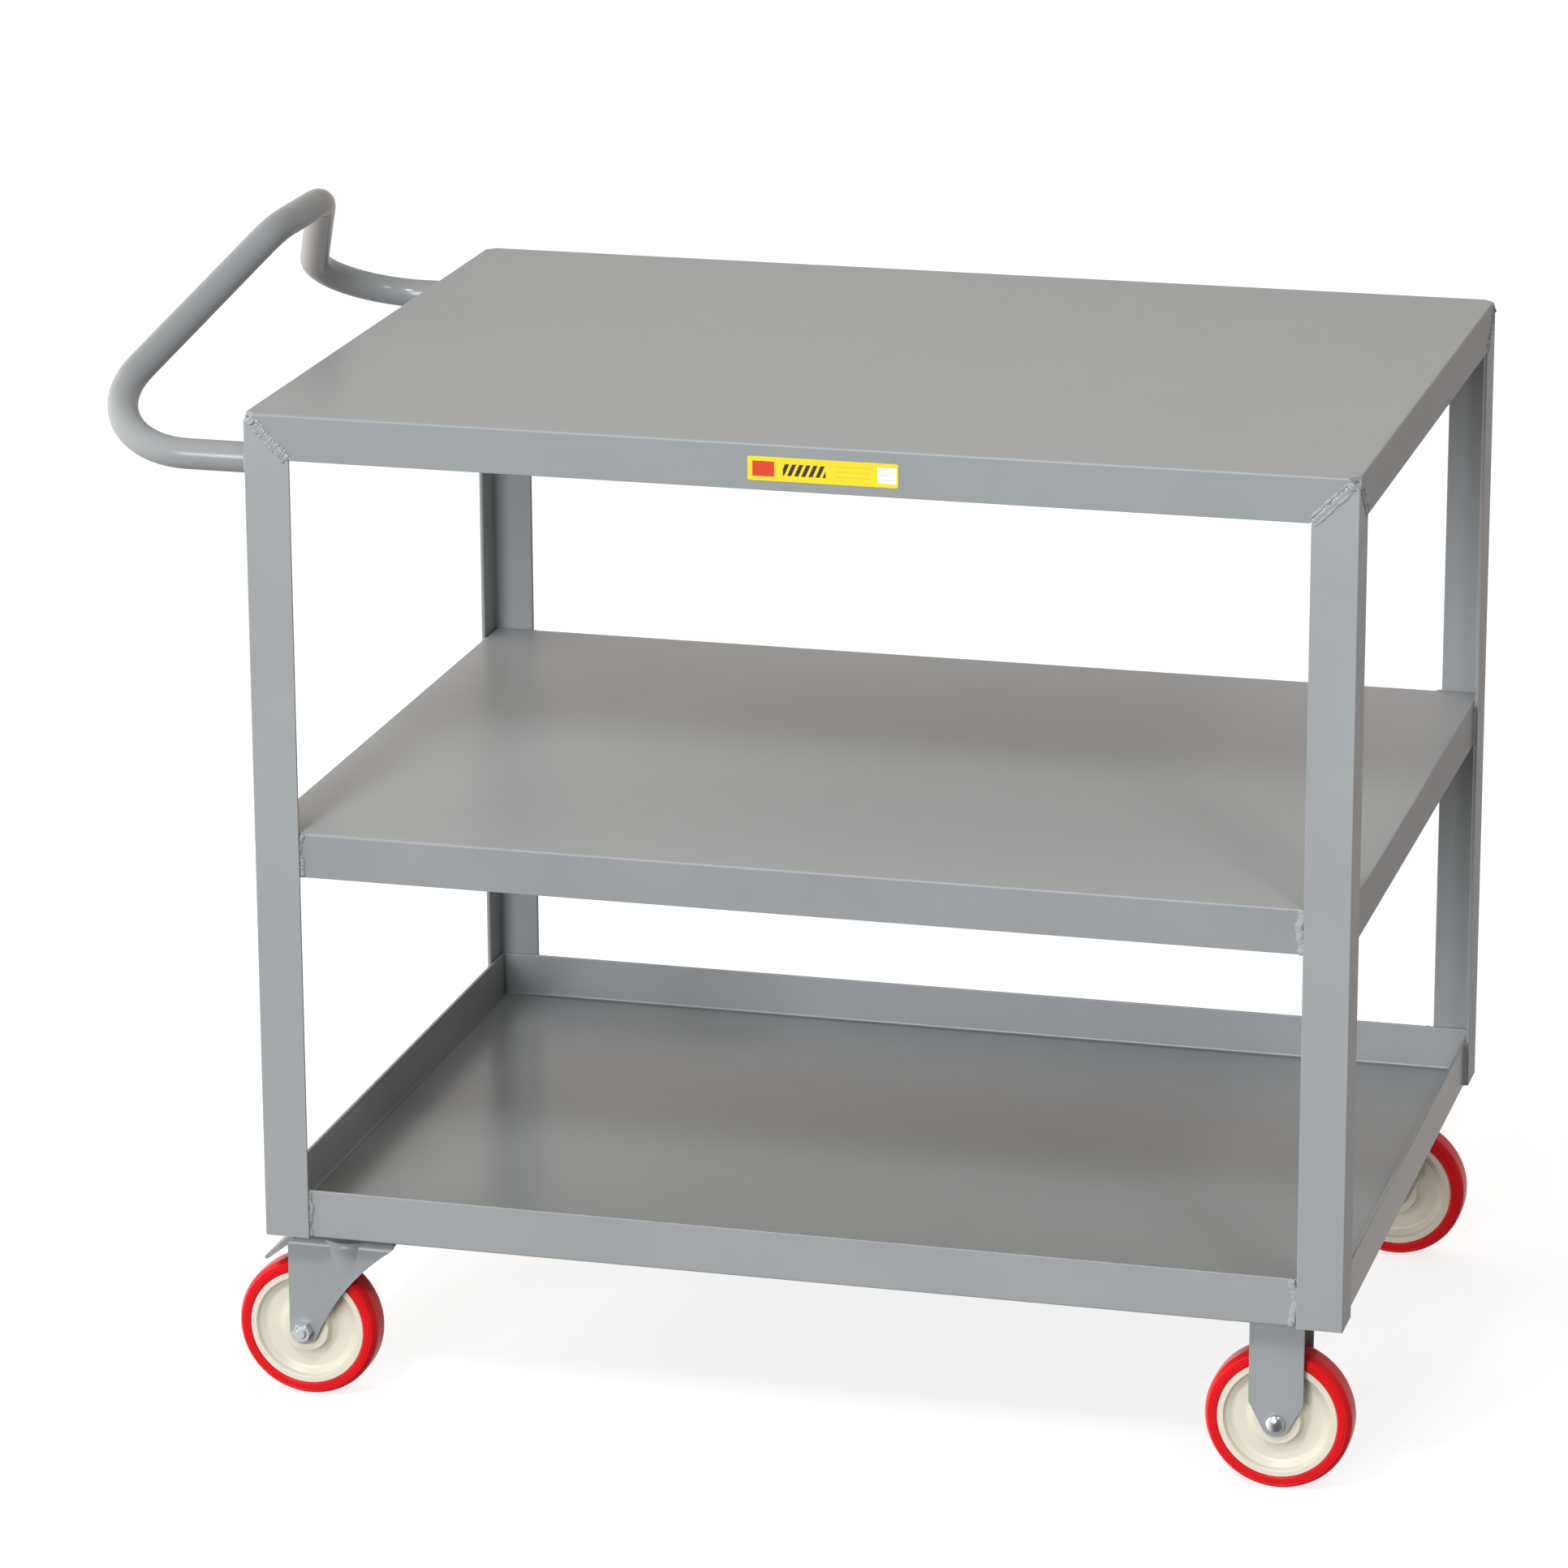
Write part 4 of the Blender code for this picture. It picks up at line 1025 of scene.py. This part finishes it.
def crown_disc(crown):
    """The flat disc of the crown round the king bolt."""
    radius, bottom = CROWN_DISC_RADIUS, crown - CROWN_DISC_DEPTH
    profile = [(0, bottom), (radius - 0.0012, bottom), (radius, crown - 0.0028)]
    profile += [(radius, crown - 0.0008), (radius - 0.0008, crown - 0.0002), (0, crown - 0.0002)]
    return shifted(turned(profile, 64), (SWIVEL_LEAD, 0, 0))


def shoulder_swell(crown, outline):
    """The swelling that the raceway presses into both legs, trimmed to the fork."""
    top, foot = crown - 0.0004, crown - SHOULDER_DEPTH
    profile = outline_with_fillets(
        [
            (0, top, 0),
            (FORK_HALF + SHOULDER_PROUD, top, 0.0056),
            (FORK_HALF + SHOULDER_WAIST, crown - 0.0140, 0.0150),
            (FORK_HALF - 0.0012, foot, 0),
            (0, foot, 0),
        ]
    )
    swell = loose_object(shifted(turned(profile, 96), (SWIVEL_LEAD, 0, 0)), "shoulder")
    gap = FORK_GAP / 2 + HOLLOW_ROOM
    hollow = block((-0.05, -gap, crown - 0.05), (0.12, gap, crown - FORK_THICKNESS - 0.0002))
    combine(swell, hollow, "DIFFERENCE")
    combine(swell, extruded(outline, -2 * FORK_HALF, 2 * FORK_HALF, "XZ"), "INTERSECT")
    shape = bmesh.new()
    shape.from_mesh(swell.data)
    bpy.data.objects.remove(swell, do_unlink=True)
    return shape


def rear_flange(crown):
    """A flange that slopes down behind the wheel from the crown's rear edge."""
    outer = WHEEL_RADIUS + WHEEL_TO_FLANGE + FORK_THICKNESS
    root = Vector((-FORK_TIP_RADIUS + 0.0002, crown - 0.0002))
    facing = math.atan2(root.y, root.x) + math.acos(outer / root.length)
    down = Vector((-math.sin(facing), math.cos(facing)))
    inward = -Vector((math.cos(facing), math.sin(facing))) * FORK_THICKNESS
    corner = root + Vector((FLANGE_ROOT, 0))
    end = root + down * FLANGE_LENGTH
    flange = [(*root, 0.002), (*corner, 0), (*(corner + inward), 0), (*(end + inward), 0.001), (*end, 0.001)]
    half = FORK_GAP / 2 + FORK_THICKNESS / 2
    return extruded(outline_with_fillets(flange, 3), -half, half, "XZ")


def build_swivel_fork(name, axle, body):
    """A stamped crown with rounded shoulders, two swept legs and a flange behind the wheel."""
    crown = 2 * WHEEL_RADIUS + CROWN_ABOVE_WHEEL + FORK_THICKNESS - axle.z
    outline = swivel_outline(crown)
    reach = SWIVEL_LEAD + CROWN_FORWARD + 0.01
    fork = loose_object(extruded(channel_section(crown), -0.04, reach, "YZ"), f"{name}_steel")
    combine(fork, extruded(outline, -2 * FORK_HALF, 2 * FORK_HALF, "XZ"), "INTERSECT")
    for shape in (crown_disc(crown), shoulder_swell(crown, outline), rear_flange(crown)):
        combine(fork, shape, "UNION")
    soften(fork, 0.0005, 42)
    bore = turned([(0, 0), (KING_HOLE, 0), (KING_HOLE, 2 * crown), (0, 2 * crown)], 32)
    combine(fork, shifted(bore, (SWIVEL_LEAD, 0, 0)), "DIFFERENCE")
    combine(fork, axle_bore(), "DIFFERENCE")
    fork.data.transform(Matrix.Translation(axle))
    finish_piece(shade(fork, 32), caster_enamel, body, "grey_enamel", name)


def hex_nut(name, flats, height, bore, base):
    """A chamfered hexagonal nut along Z."""
    corner = flats / 2 / math.cos(math.pi / 6)
    ring = [(corner * math.cos(math.pi / 3 * k), corner * math.sin(math.pi / 3 * k)) for k in range(6)]
    nut = loose_object(extruded(ring, base, base + height, "XY"), name)
    rim, widest = flats / 2 + 0.0001, corner + 0.0002
    low, high = base - 0.0001, base + height + 0.0001
    chamfer = (corner - rim) * 0.6
    profile = [(0, low), (rim, low), (widest, base + chamfer)]
    profile += [(widest, base + height - chamfer), (rim, high), (0, high)]
    combine(nut, turned(profile, 48), "INTERSECT")
    hole = turned([(0, base - 1), (bore, base - 1), (bore, base + height + 1), (0, base + height + 1)], 32)
    combine(nut, hole, "DIFFERENCE")
    return nut


def threaded(radius, start, end):
    """Profile points of a thread's crests and roots between start and end."""
    points = []
    turns = max(1, int((end - start) / THREAD_PITCH))
    for i in range(turns):
        at = start + i * THREAD_PITCH
        points += [(radius, at), (radius - THREAD_DEPTH, at + THREAD_PITCH / 2)]
    return points + [(radius - THREAD_DEPTH, end)]


def build_axle(corner, axle, body, head_side):
    """A bolt with a domed head on one side and a nut with its thread end on the other."""
    seat = FORK_HALF + WASHER_GAP
    end = seat + WASHER_GAP + AXLE_NUT_HEIGHT + AXLE_END_PROUD
    profile = []
    for turn in range(0, 91, 9):
        angle = math.radians(turn)
        rise = AXLE_HEAD_RIM + AXLE_HEAD_DOME * math.cos(angle)
        profile.append((AXLE_HEAD_RADIUS * math.sin(angle), -seat - rise))
    profile += [(AXLE_HEAD_RADIUS, -seat), (AXLE_RADIUS, -seat)]
    profile += threaded(AXLE_RADIUS, seat + 0.001, end - 0.0007)
    profile += [(AXLE_RADIUS - 0.0009, end), (0, end)]
    bolt = loose_object(turned(profile, 40), f"{corner}_axle_bolt_steel")
    nut = hex_nut(f"{corner}_axle_nut_steel", AXLE_NUT_FLATS, AXLE_NUT_HEIGHT, AXLE_RADIUS + 0.0002, seat)
    swing = Matrix.Rotation(math.radians(-90 * head_side), 4, "X")
    bolt_finish = bright_zinc if head_side > 0 else pale_zinc
    for obj, node, finish in ((bolt, "axle_bolt", bolt_finish), (nut, "axle_nut", pale_zinc)):
        obj.data.transform(Matrix.Translation(axle) @ swing)
        finish_piece(shade(obj, 28), finish, body, "zinc_plate", f"{corner}_{node}")


def mirrored(half):
    return half + [(radius, -height, fillet) for radius, height, fillet in reversed(half)]


def tread_outline():
    side = 0.0155
    half = [
        (CORE_RADIUS + 0.0002, side - 0.0006, 0.0004),
        (CORE_RADIUS + 0.0012, side - 0.0001, 0.0006),
        (0.05560, side, 0.0004),
        (0.05610, side - 0.00055, 0.0002),
        (0.05665, side - 0.00055, 0.0002),
        (0.05705, side - 0.0001, 0.0005),
        (0.05860, side - 0.0011, 0.0020),
        (0.06015, side - 0.0036, 0.0003),
        (0.06000, side - 0.0040, 0.0001),
        (0.06040, side - 0.0044, 0.0003),
        (0.06110, side - 0.0066, 0.0030),
        (WHEEL_RADIUS, side - 0.0100, 0.0100),
    ]
    return outline_with_fillets(mirrored(half), 5)


def core_outline():
    rim = CORE_RADIUS - 0.0052
    half = [
        (0.0116, 0.0181, 0.0004),
        (0.0140, 0.0183, 0.0003),
        (0.0200, 0.0180, 0.0012),
        (0.0212, 0.0112, 0.0014),
        (0.0262, 0.0078, 0.0050),
        (rim - 0.0064, 0.0076, 0.0050),
        (rim - 0.0012, 0.0112, 0.0020),
        (rim, 0.0148, 0.0006),
        (rim + 0.0006, 0.0150, 0.0004),
        (CORE_RADIUS - 0.0004, 0.0150, 0.0004),
        (CORE_RADIUS, 0.0145, 0.0003),
    ]
    return outline_with_fillets(mirrored(half), 5)


def tube_outline(inner, outer, half):
    return rounded_rectangle((inner, -half), (outer, half), 0.0005, 3)


def build_wheel(corner, axle, body, holder):
    shapes = (
        ("wheel_core", core_outline(), 96, cream_core, "cream_polyolefin", body),
        ("wheel_tread", tread_outline(), 128, red_tread, "red_polyurethane", body),
        ("hub_bushing", tube_outline(0.0080, 0.0111, 0.0183), 40, white_nylon, "white_nylon", body),
        ("axle_sleeve", tube_outline(0.0050, 0.0074, 0.0189), 40, dull_zinc, "zinc_plate", holder),
    )
    for node, outline, steps, material, slot, rides in shapes:
        obj = loose_object(turned(outline, steps, ring=True, axis="Y"), f"{corner}_{node}_body")
        obj.data.transform(Matrix.Translation(axle))
        finish_piece(shade(obj, 34), material, rides, slot, f"{corner}_{node}")


def finish_head_piece(obj, king, sharp, finish, slot, node):
    """Puts a piece of the swivel head on the king bolt's axis, gives it its finish and attaches it to the
    frame.
    """
    obj.data.transform(Matrix.Translation((king.x, king.y, 0)))
    finish_piece(shade(obj, sharp), finish, "frame", slot, node)


def build_swivel_plate(node, king):
    """The plate under the tray, with the raceway's rim and a sunk bore for the king bolt."""
    low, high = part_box(node)
    top = high.z
    under = top - PLATE_THICKNESS
    plate = loose_object(mounting_plate(high - low, top), f"{node}_steel")
    soften(plate, 0.0006, 50)
    inner = UPPER_RING + BALL_ROOM
    outer = inner + RACEWAY_WALL
    rim = outline_with_fillets(
        [(inner, low.z, 0.0005), (outer, low.z, 0.0012), (outer, under, 0)]
        + [(outer + 0.0008, under + 0.002, 0), (inner, under + 0.002, 0)],
        4,
    )
    combine(plate, turned(rim, 72, ring=True), "UNION")
    head = KING_HEAD_RADIUS + 0.0006
    sink = [(0, under - 0.001), (KING_HOLE, under - 0.001), (KING_HOLE, top - 0.0037)]
    sink += [(head, top - 0.0003), (head, top + 0.001), (0, top + 0.001)]
    combine(plate, turned(sink, 40), "DIFFERENCE")
    finish_head_piece(plate, king, 32, caster_enamel, "grey_enamel", node)


def build_ball_ring(node, count, ring_radius, body):
    low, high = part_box(node)
    balls = line_object(f"{node}_set", [], [])
    sizes = {"Count": count, "Ring_Radius": ring_radius, "Ball_Radius": (high.z - low.z) / 2}
    run_maker(balls, ball_tree, Centre=tuple((low + high) / 2), Finish=ball_steel, **sizes)
    finish_piece(balls, ball_steel, body, "bearing_steel", node)


def build_lower_race(node, king):
    low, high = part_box(node)
    inner, outer = 0.0052, (high.x - low.x) / 2
    profile = [(inner, low.z, 0.0003), (outer - 0.0012, low.z, 0.0014), (outer, high.z - 0.0008, 0.0004)]
    profile += [(outer - 0.0004, high.z, 0.0003), (0.0138, high.z - 0.0001, 0.0005)]
    profile += [(inner, high.z - 0.0001, 0.0003)]
    race = loose_object(turned(outline_with_fillets(profile, 4), 64, ring=True), f"{node}_steel")
    finish_head_piece(race, king, 32, dull_zinc, "zinc_plate", node)


def build_king_bolt(corner, king):
    """The king bolt with a flat sunk head, and its nut below the lower race."""
    low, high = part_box(f"{corner}_king_bolt")
    profile = [(0, low.z), (KING_RADIUS - 0.0008, low.z)]
    profile += threaded(KING_RADIUS, low.z + 0.0009, low.z + KING_THREAD_LENGTH)
    profile += [(KING_RADIUS, low.z + KING_THREAD_LENGTH + 0.001), (KING_RADIUS, high.z - KING_HEAD_HEIGHT)]
    profile += [(KING_HEAD_RADIUS, high.z - 0.0002), (KING_HEAD_RADIUS - 0.0002, high.z)]
    profile += [(0.0032, high.z), (0.0028, high.z - 0.0012), (0, high.z - 0.0012)]
    bolt = loose_object(turned(profile, 40), f"{corner}_king_bolt_steel")
    finish_head_piece(bolt, king, 28, bright_zinc, "zinc_plate", f"{corner}_king_bolt")
    low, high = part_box(f"{corner}_king_nut")
    nut = hex_nut(f"{corner}_king_nut_steel", KING_NUT_FLATS, high.z - low.z, KING_RADIUS + 0.0002, low.z)
    finish_head_piece(nut, king, 28, bright_zinc, "zinc_plate", f"{corner}_king_nut")


def build_swivel_head(corner, king, body):
    """The fixed plate and raceway, both ball rings, and the king bolt with its race and nut."""
    build_swivel_plate(f"{corner}_swivel_plate", king)
    build_ball_ring(f"{corner}_race_balls", 17, UPPER_RING, body)
    build_ball_ring(f"{corner}_lower_balls", 18, LOWER_RING, body)
    build_lower_race(f"{corner}_lower_race", king)
    build_king_bolt(corner, king)


def build_casters():
    for corner, (sx, _) in CORNERS.items():
        axle = joint_at[f"{corner}_roll"]
        wheel_body = f"{corner}_wheel"
        if sx > 0:
            build_rigid_fork(f"{corner}_rigid_fork", axle)
            build_axle(corner, axle, "frame", 1)
            build_wheel(corner, axle, wheel_body, "frame")
        else:
            swivel = f"{corner}_swivel"
            build_swivel_fork(f"{corner}_swivel_fork", axle, swivel)
            build_swivel_head(corner, joint_at[swivel], swivel)
            build_axle(corner, axle, swivel, -1)
            build_wheel(corner, axle, wheel_body, swivel)


# Studio


def build_floor():
    bm = bmesh.new()
    bmesh.ops.create_grid(bm, x_segments=1, y_segments=1, size=80.0)
    for vert in bm.verts:
        vert.co.z = -0.0002
    mesh = bpy.data.meshes.new("studio_floor")
    bm.to_mesh(mesh)
    bm.free()
    floor = bpy.data.objects.new("studio_floor", mesh)
    bpy.context.scene.collection.objects.link(floor)
    material, w, shader = new_material("floor_paper", {"Roughness": 0.9, "Specular IOR Level": 0.2})
    place = w.add("ShaderNodeTexCoord").outputs["Object"]
    shade_of = w.span(w.noise(place, 0.8, 2.0), 0.3, 0.7)
    tone = w.blend(shade_of, (0.43, 0.43, 0.43), (0.45, 0.45, 0.45))
    w.tree.links.new(tone, shader.inputs["Base Color"])
    shader.inputs["Emission Color"].default_value = (1, 1, 1, 1)
    shader.inputs["Emission Strength"].default_value = 0.74
    mesh.materials.append(material)
    floor.visible_diffuse = False
    floor.visible_glossy = False


def add_softbox(name, place, target, size, power, colour):
    light = bpy.data.lights.new(name, "AREA")
    light.shape = "DISK"
    light.size = size
    light.energy = power
    light.color = colour
    obj = bpy.data.objects.new(name, light)
    bpy.context.scene.collection.objects.link(obj)
    obj.location = place
    obj.rotation_euler = (Vector(target) - Vector(place)).to_track_quat("-Z", "Y").to_euler()


def add_sun(name, direction, angle, strength, colour):
    light = bpy.data.lights.new(name, "SUN")
    light.angle = math.radians(angle)
    light.energy = strength
    light.color = colour
    obj = bpy.data.objects.new(name, light)
    bpy.context.scene.collection.objects.link(obj)
    obj.rotation_euler = Vector(direction).to_track_quat("-Z", "Y").to_euler()


# Light from each side of the room: direction, colour and strength
WALLS = {
    "front": ((0, -1, 0), (1.0, 1.0, 1.0), 0.12),
    "back": ((0, 1, 0), (1.0, 0.92, 0.875), 0.62),
    "left": ((-1, 0, 0), (1.0, 0.965, 0.92), 2.03),
    "right": ((1, 0, 0), (0.97, 0.98, 1.0), 0.37),
    "ceiling": ((0, 0, 1), (1.0, 0.99, 0.97), 0.41),
    "ground": ((0, 0, -1), (1.0, 1.0, 1.0), 0.14),
}


def build_room_light():
    """A soft room: each wall gives its own light, blended by the square of the direction's share."""
    world = bpy.data.worlds.new("studio")
    world.use_nodes = True
    w = Wiring(world.node_tree)
    backdrop = world.node_tree.nodes["Background"]
    look = w.add("ShaderNodeTexCoord").outputs["Generated"]
    total = None
    for side, (direction, colour, strength) in WALLS.items():
        facing = w.add("ShaderNodeVectorMath", {0: look, 1: direction}, operation="DOT_PRODUCT")
        share = w.math("POWER", w.math("MAXIMUM", facing.outputs["Value"], 0.0), 2.0)
        glow = w.add("ShaderNodeVectorMath", operation="SCALE")
        glow.name = side
        glow.inputs[0].default_value = [c * strength for c in colour]
        w.tree.links.new(share, glow.inputs["Scale"])
        if total is None:
            total = glow.outputs[0]
        else:
            total = w.add("ShaderNodeVectorMath", {0: total, 1: glow.outputs[0]}, operation="ADD").outputs[0]
    w.tree.links.new(total, backdrop.inputs["Color"])
    bpy.context.scene.world = world


def build_light():
    build_room_light()
    target = (0.05, 0, 0.4)
    add_sun("front_panel", (0.20, 0.97, -0.22), 24, 1.95, (0.86, 0.915, 1.0))
    add_softbox("left_box", (-0.48, -3.0, 3.1), target, 0.6, 44, (0.885, 0.975, 1.0))
    add_softbox("right_box", (2.0, -2.5, 2.95), target, 0.6, 19, (1.0, 1.0, 1.0))
    bpy.context.scene.view_settings.view_transform = "Standard"


def build_camera():
    """The eye is 5.5 m off, to the front and right, looking down a little."""
    turn, tilt, roll = math.radians(15.045), math.radians(16.65), math.radians(-0.256)
    ahead = Vector((-math.sin(turn) * math.cos(tilt), math.cos(turn) * math.cos(tilt), -math.sin(tilt)))
    right = Vector((math.cos(turn), math.sin(turn), 0))
    up = right.cross(ahead)
    level_right = right * math.cos(roll) + up * math.sin(roll)
    level_up = up * math.cos(roll) - right * math.sin(roll)
    data = bpy.data.cameras.new("camera")
    data.sensor_width = 36.0
    data.lens = 151.15
    data.clip_start, data.clip_end = 0.1, 250.0
    camera = bpy.data.objects.new("camera", data)
    bpy.context.scene.collection.objects.link(camera)
    camera.matrix_world = Matrix.Translation((1.3091 + deck_middle.x, -5.2215, 2.0982)) @ Matrix(
        (level_right, level_up, -ahead)
    ).transposed().to_4x4()
    bpy.context.scene.camera = camera


build_camera()
build_levels()
build_posts()
build_handle()
build_label()
weld_mitres()
weld_shelves()
weld_handle()
weld_casters()
build_casters()
build_floor()
build_light()
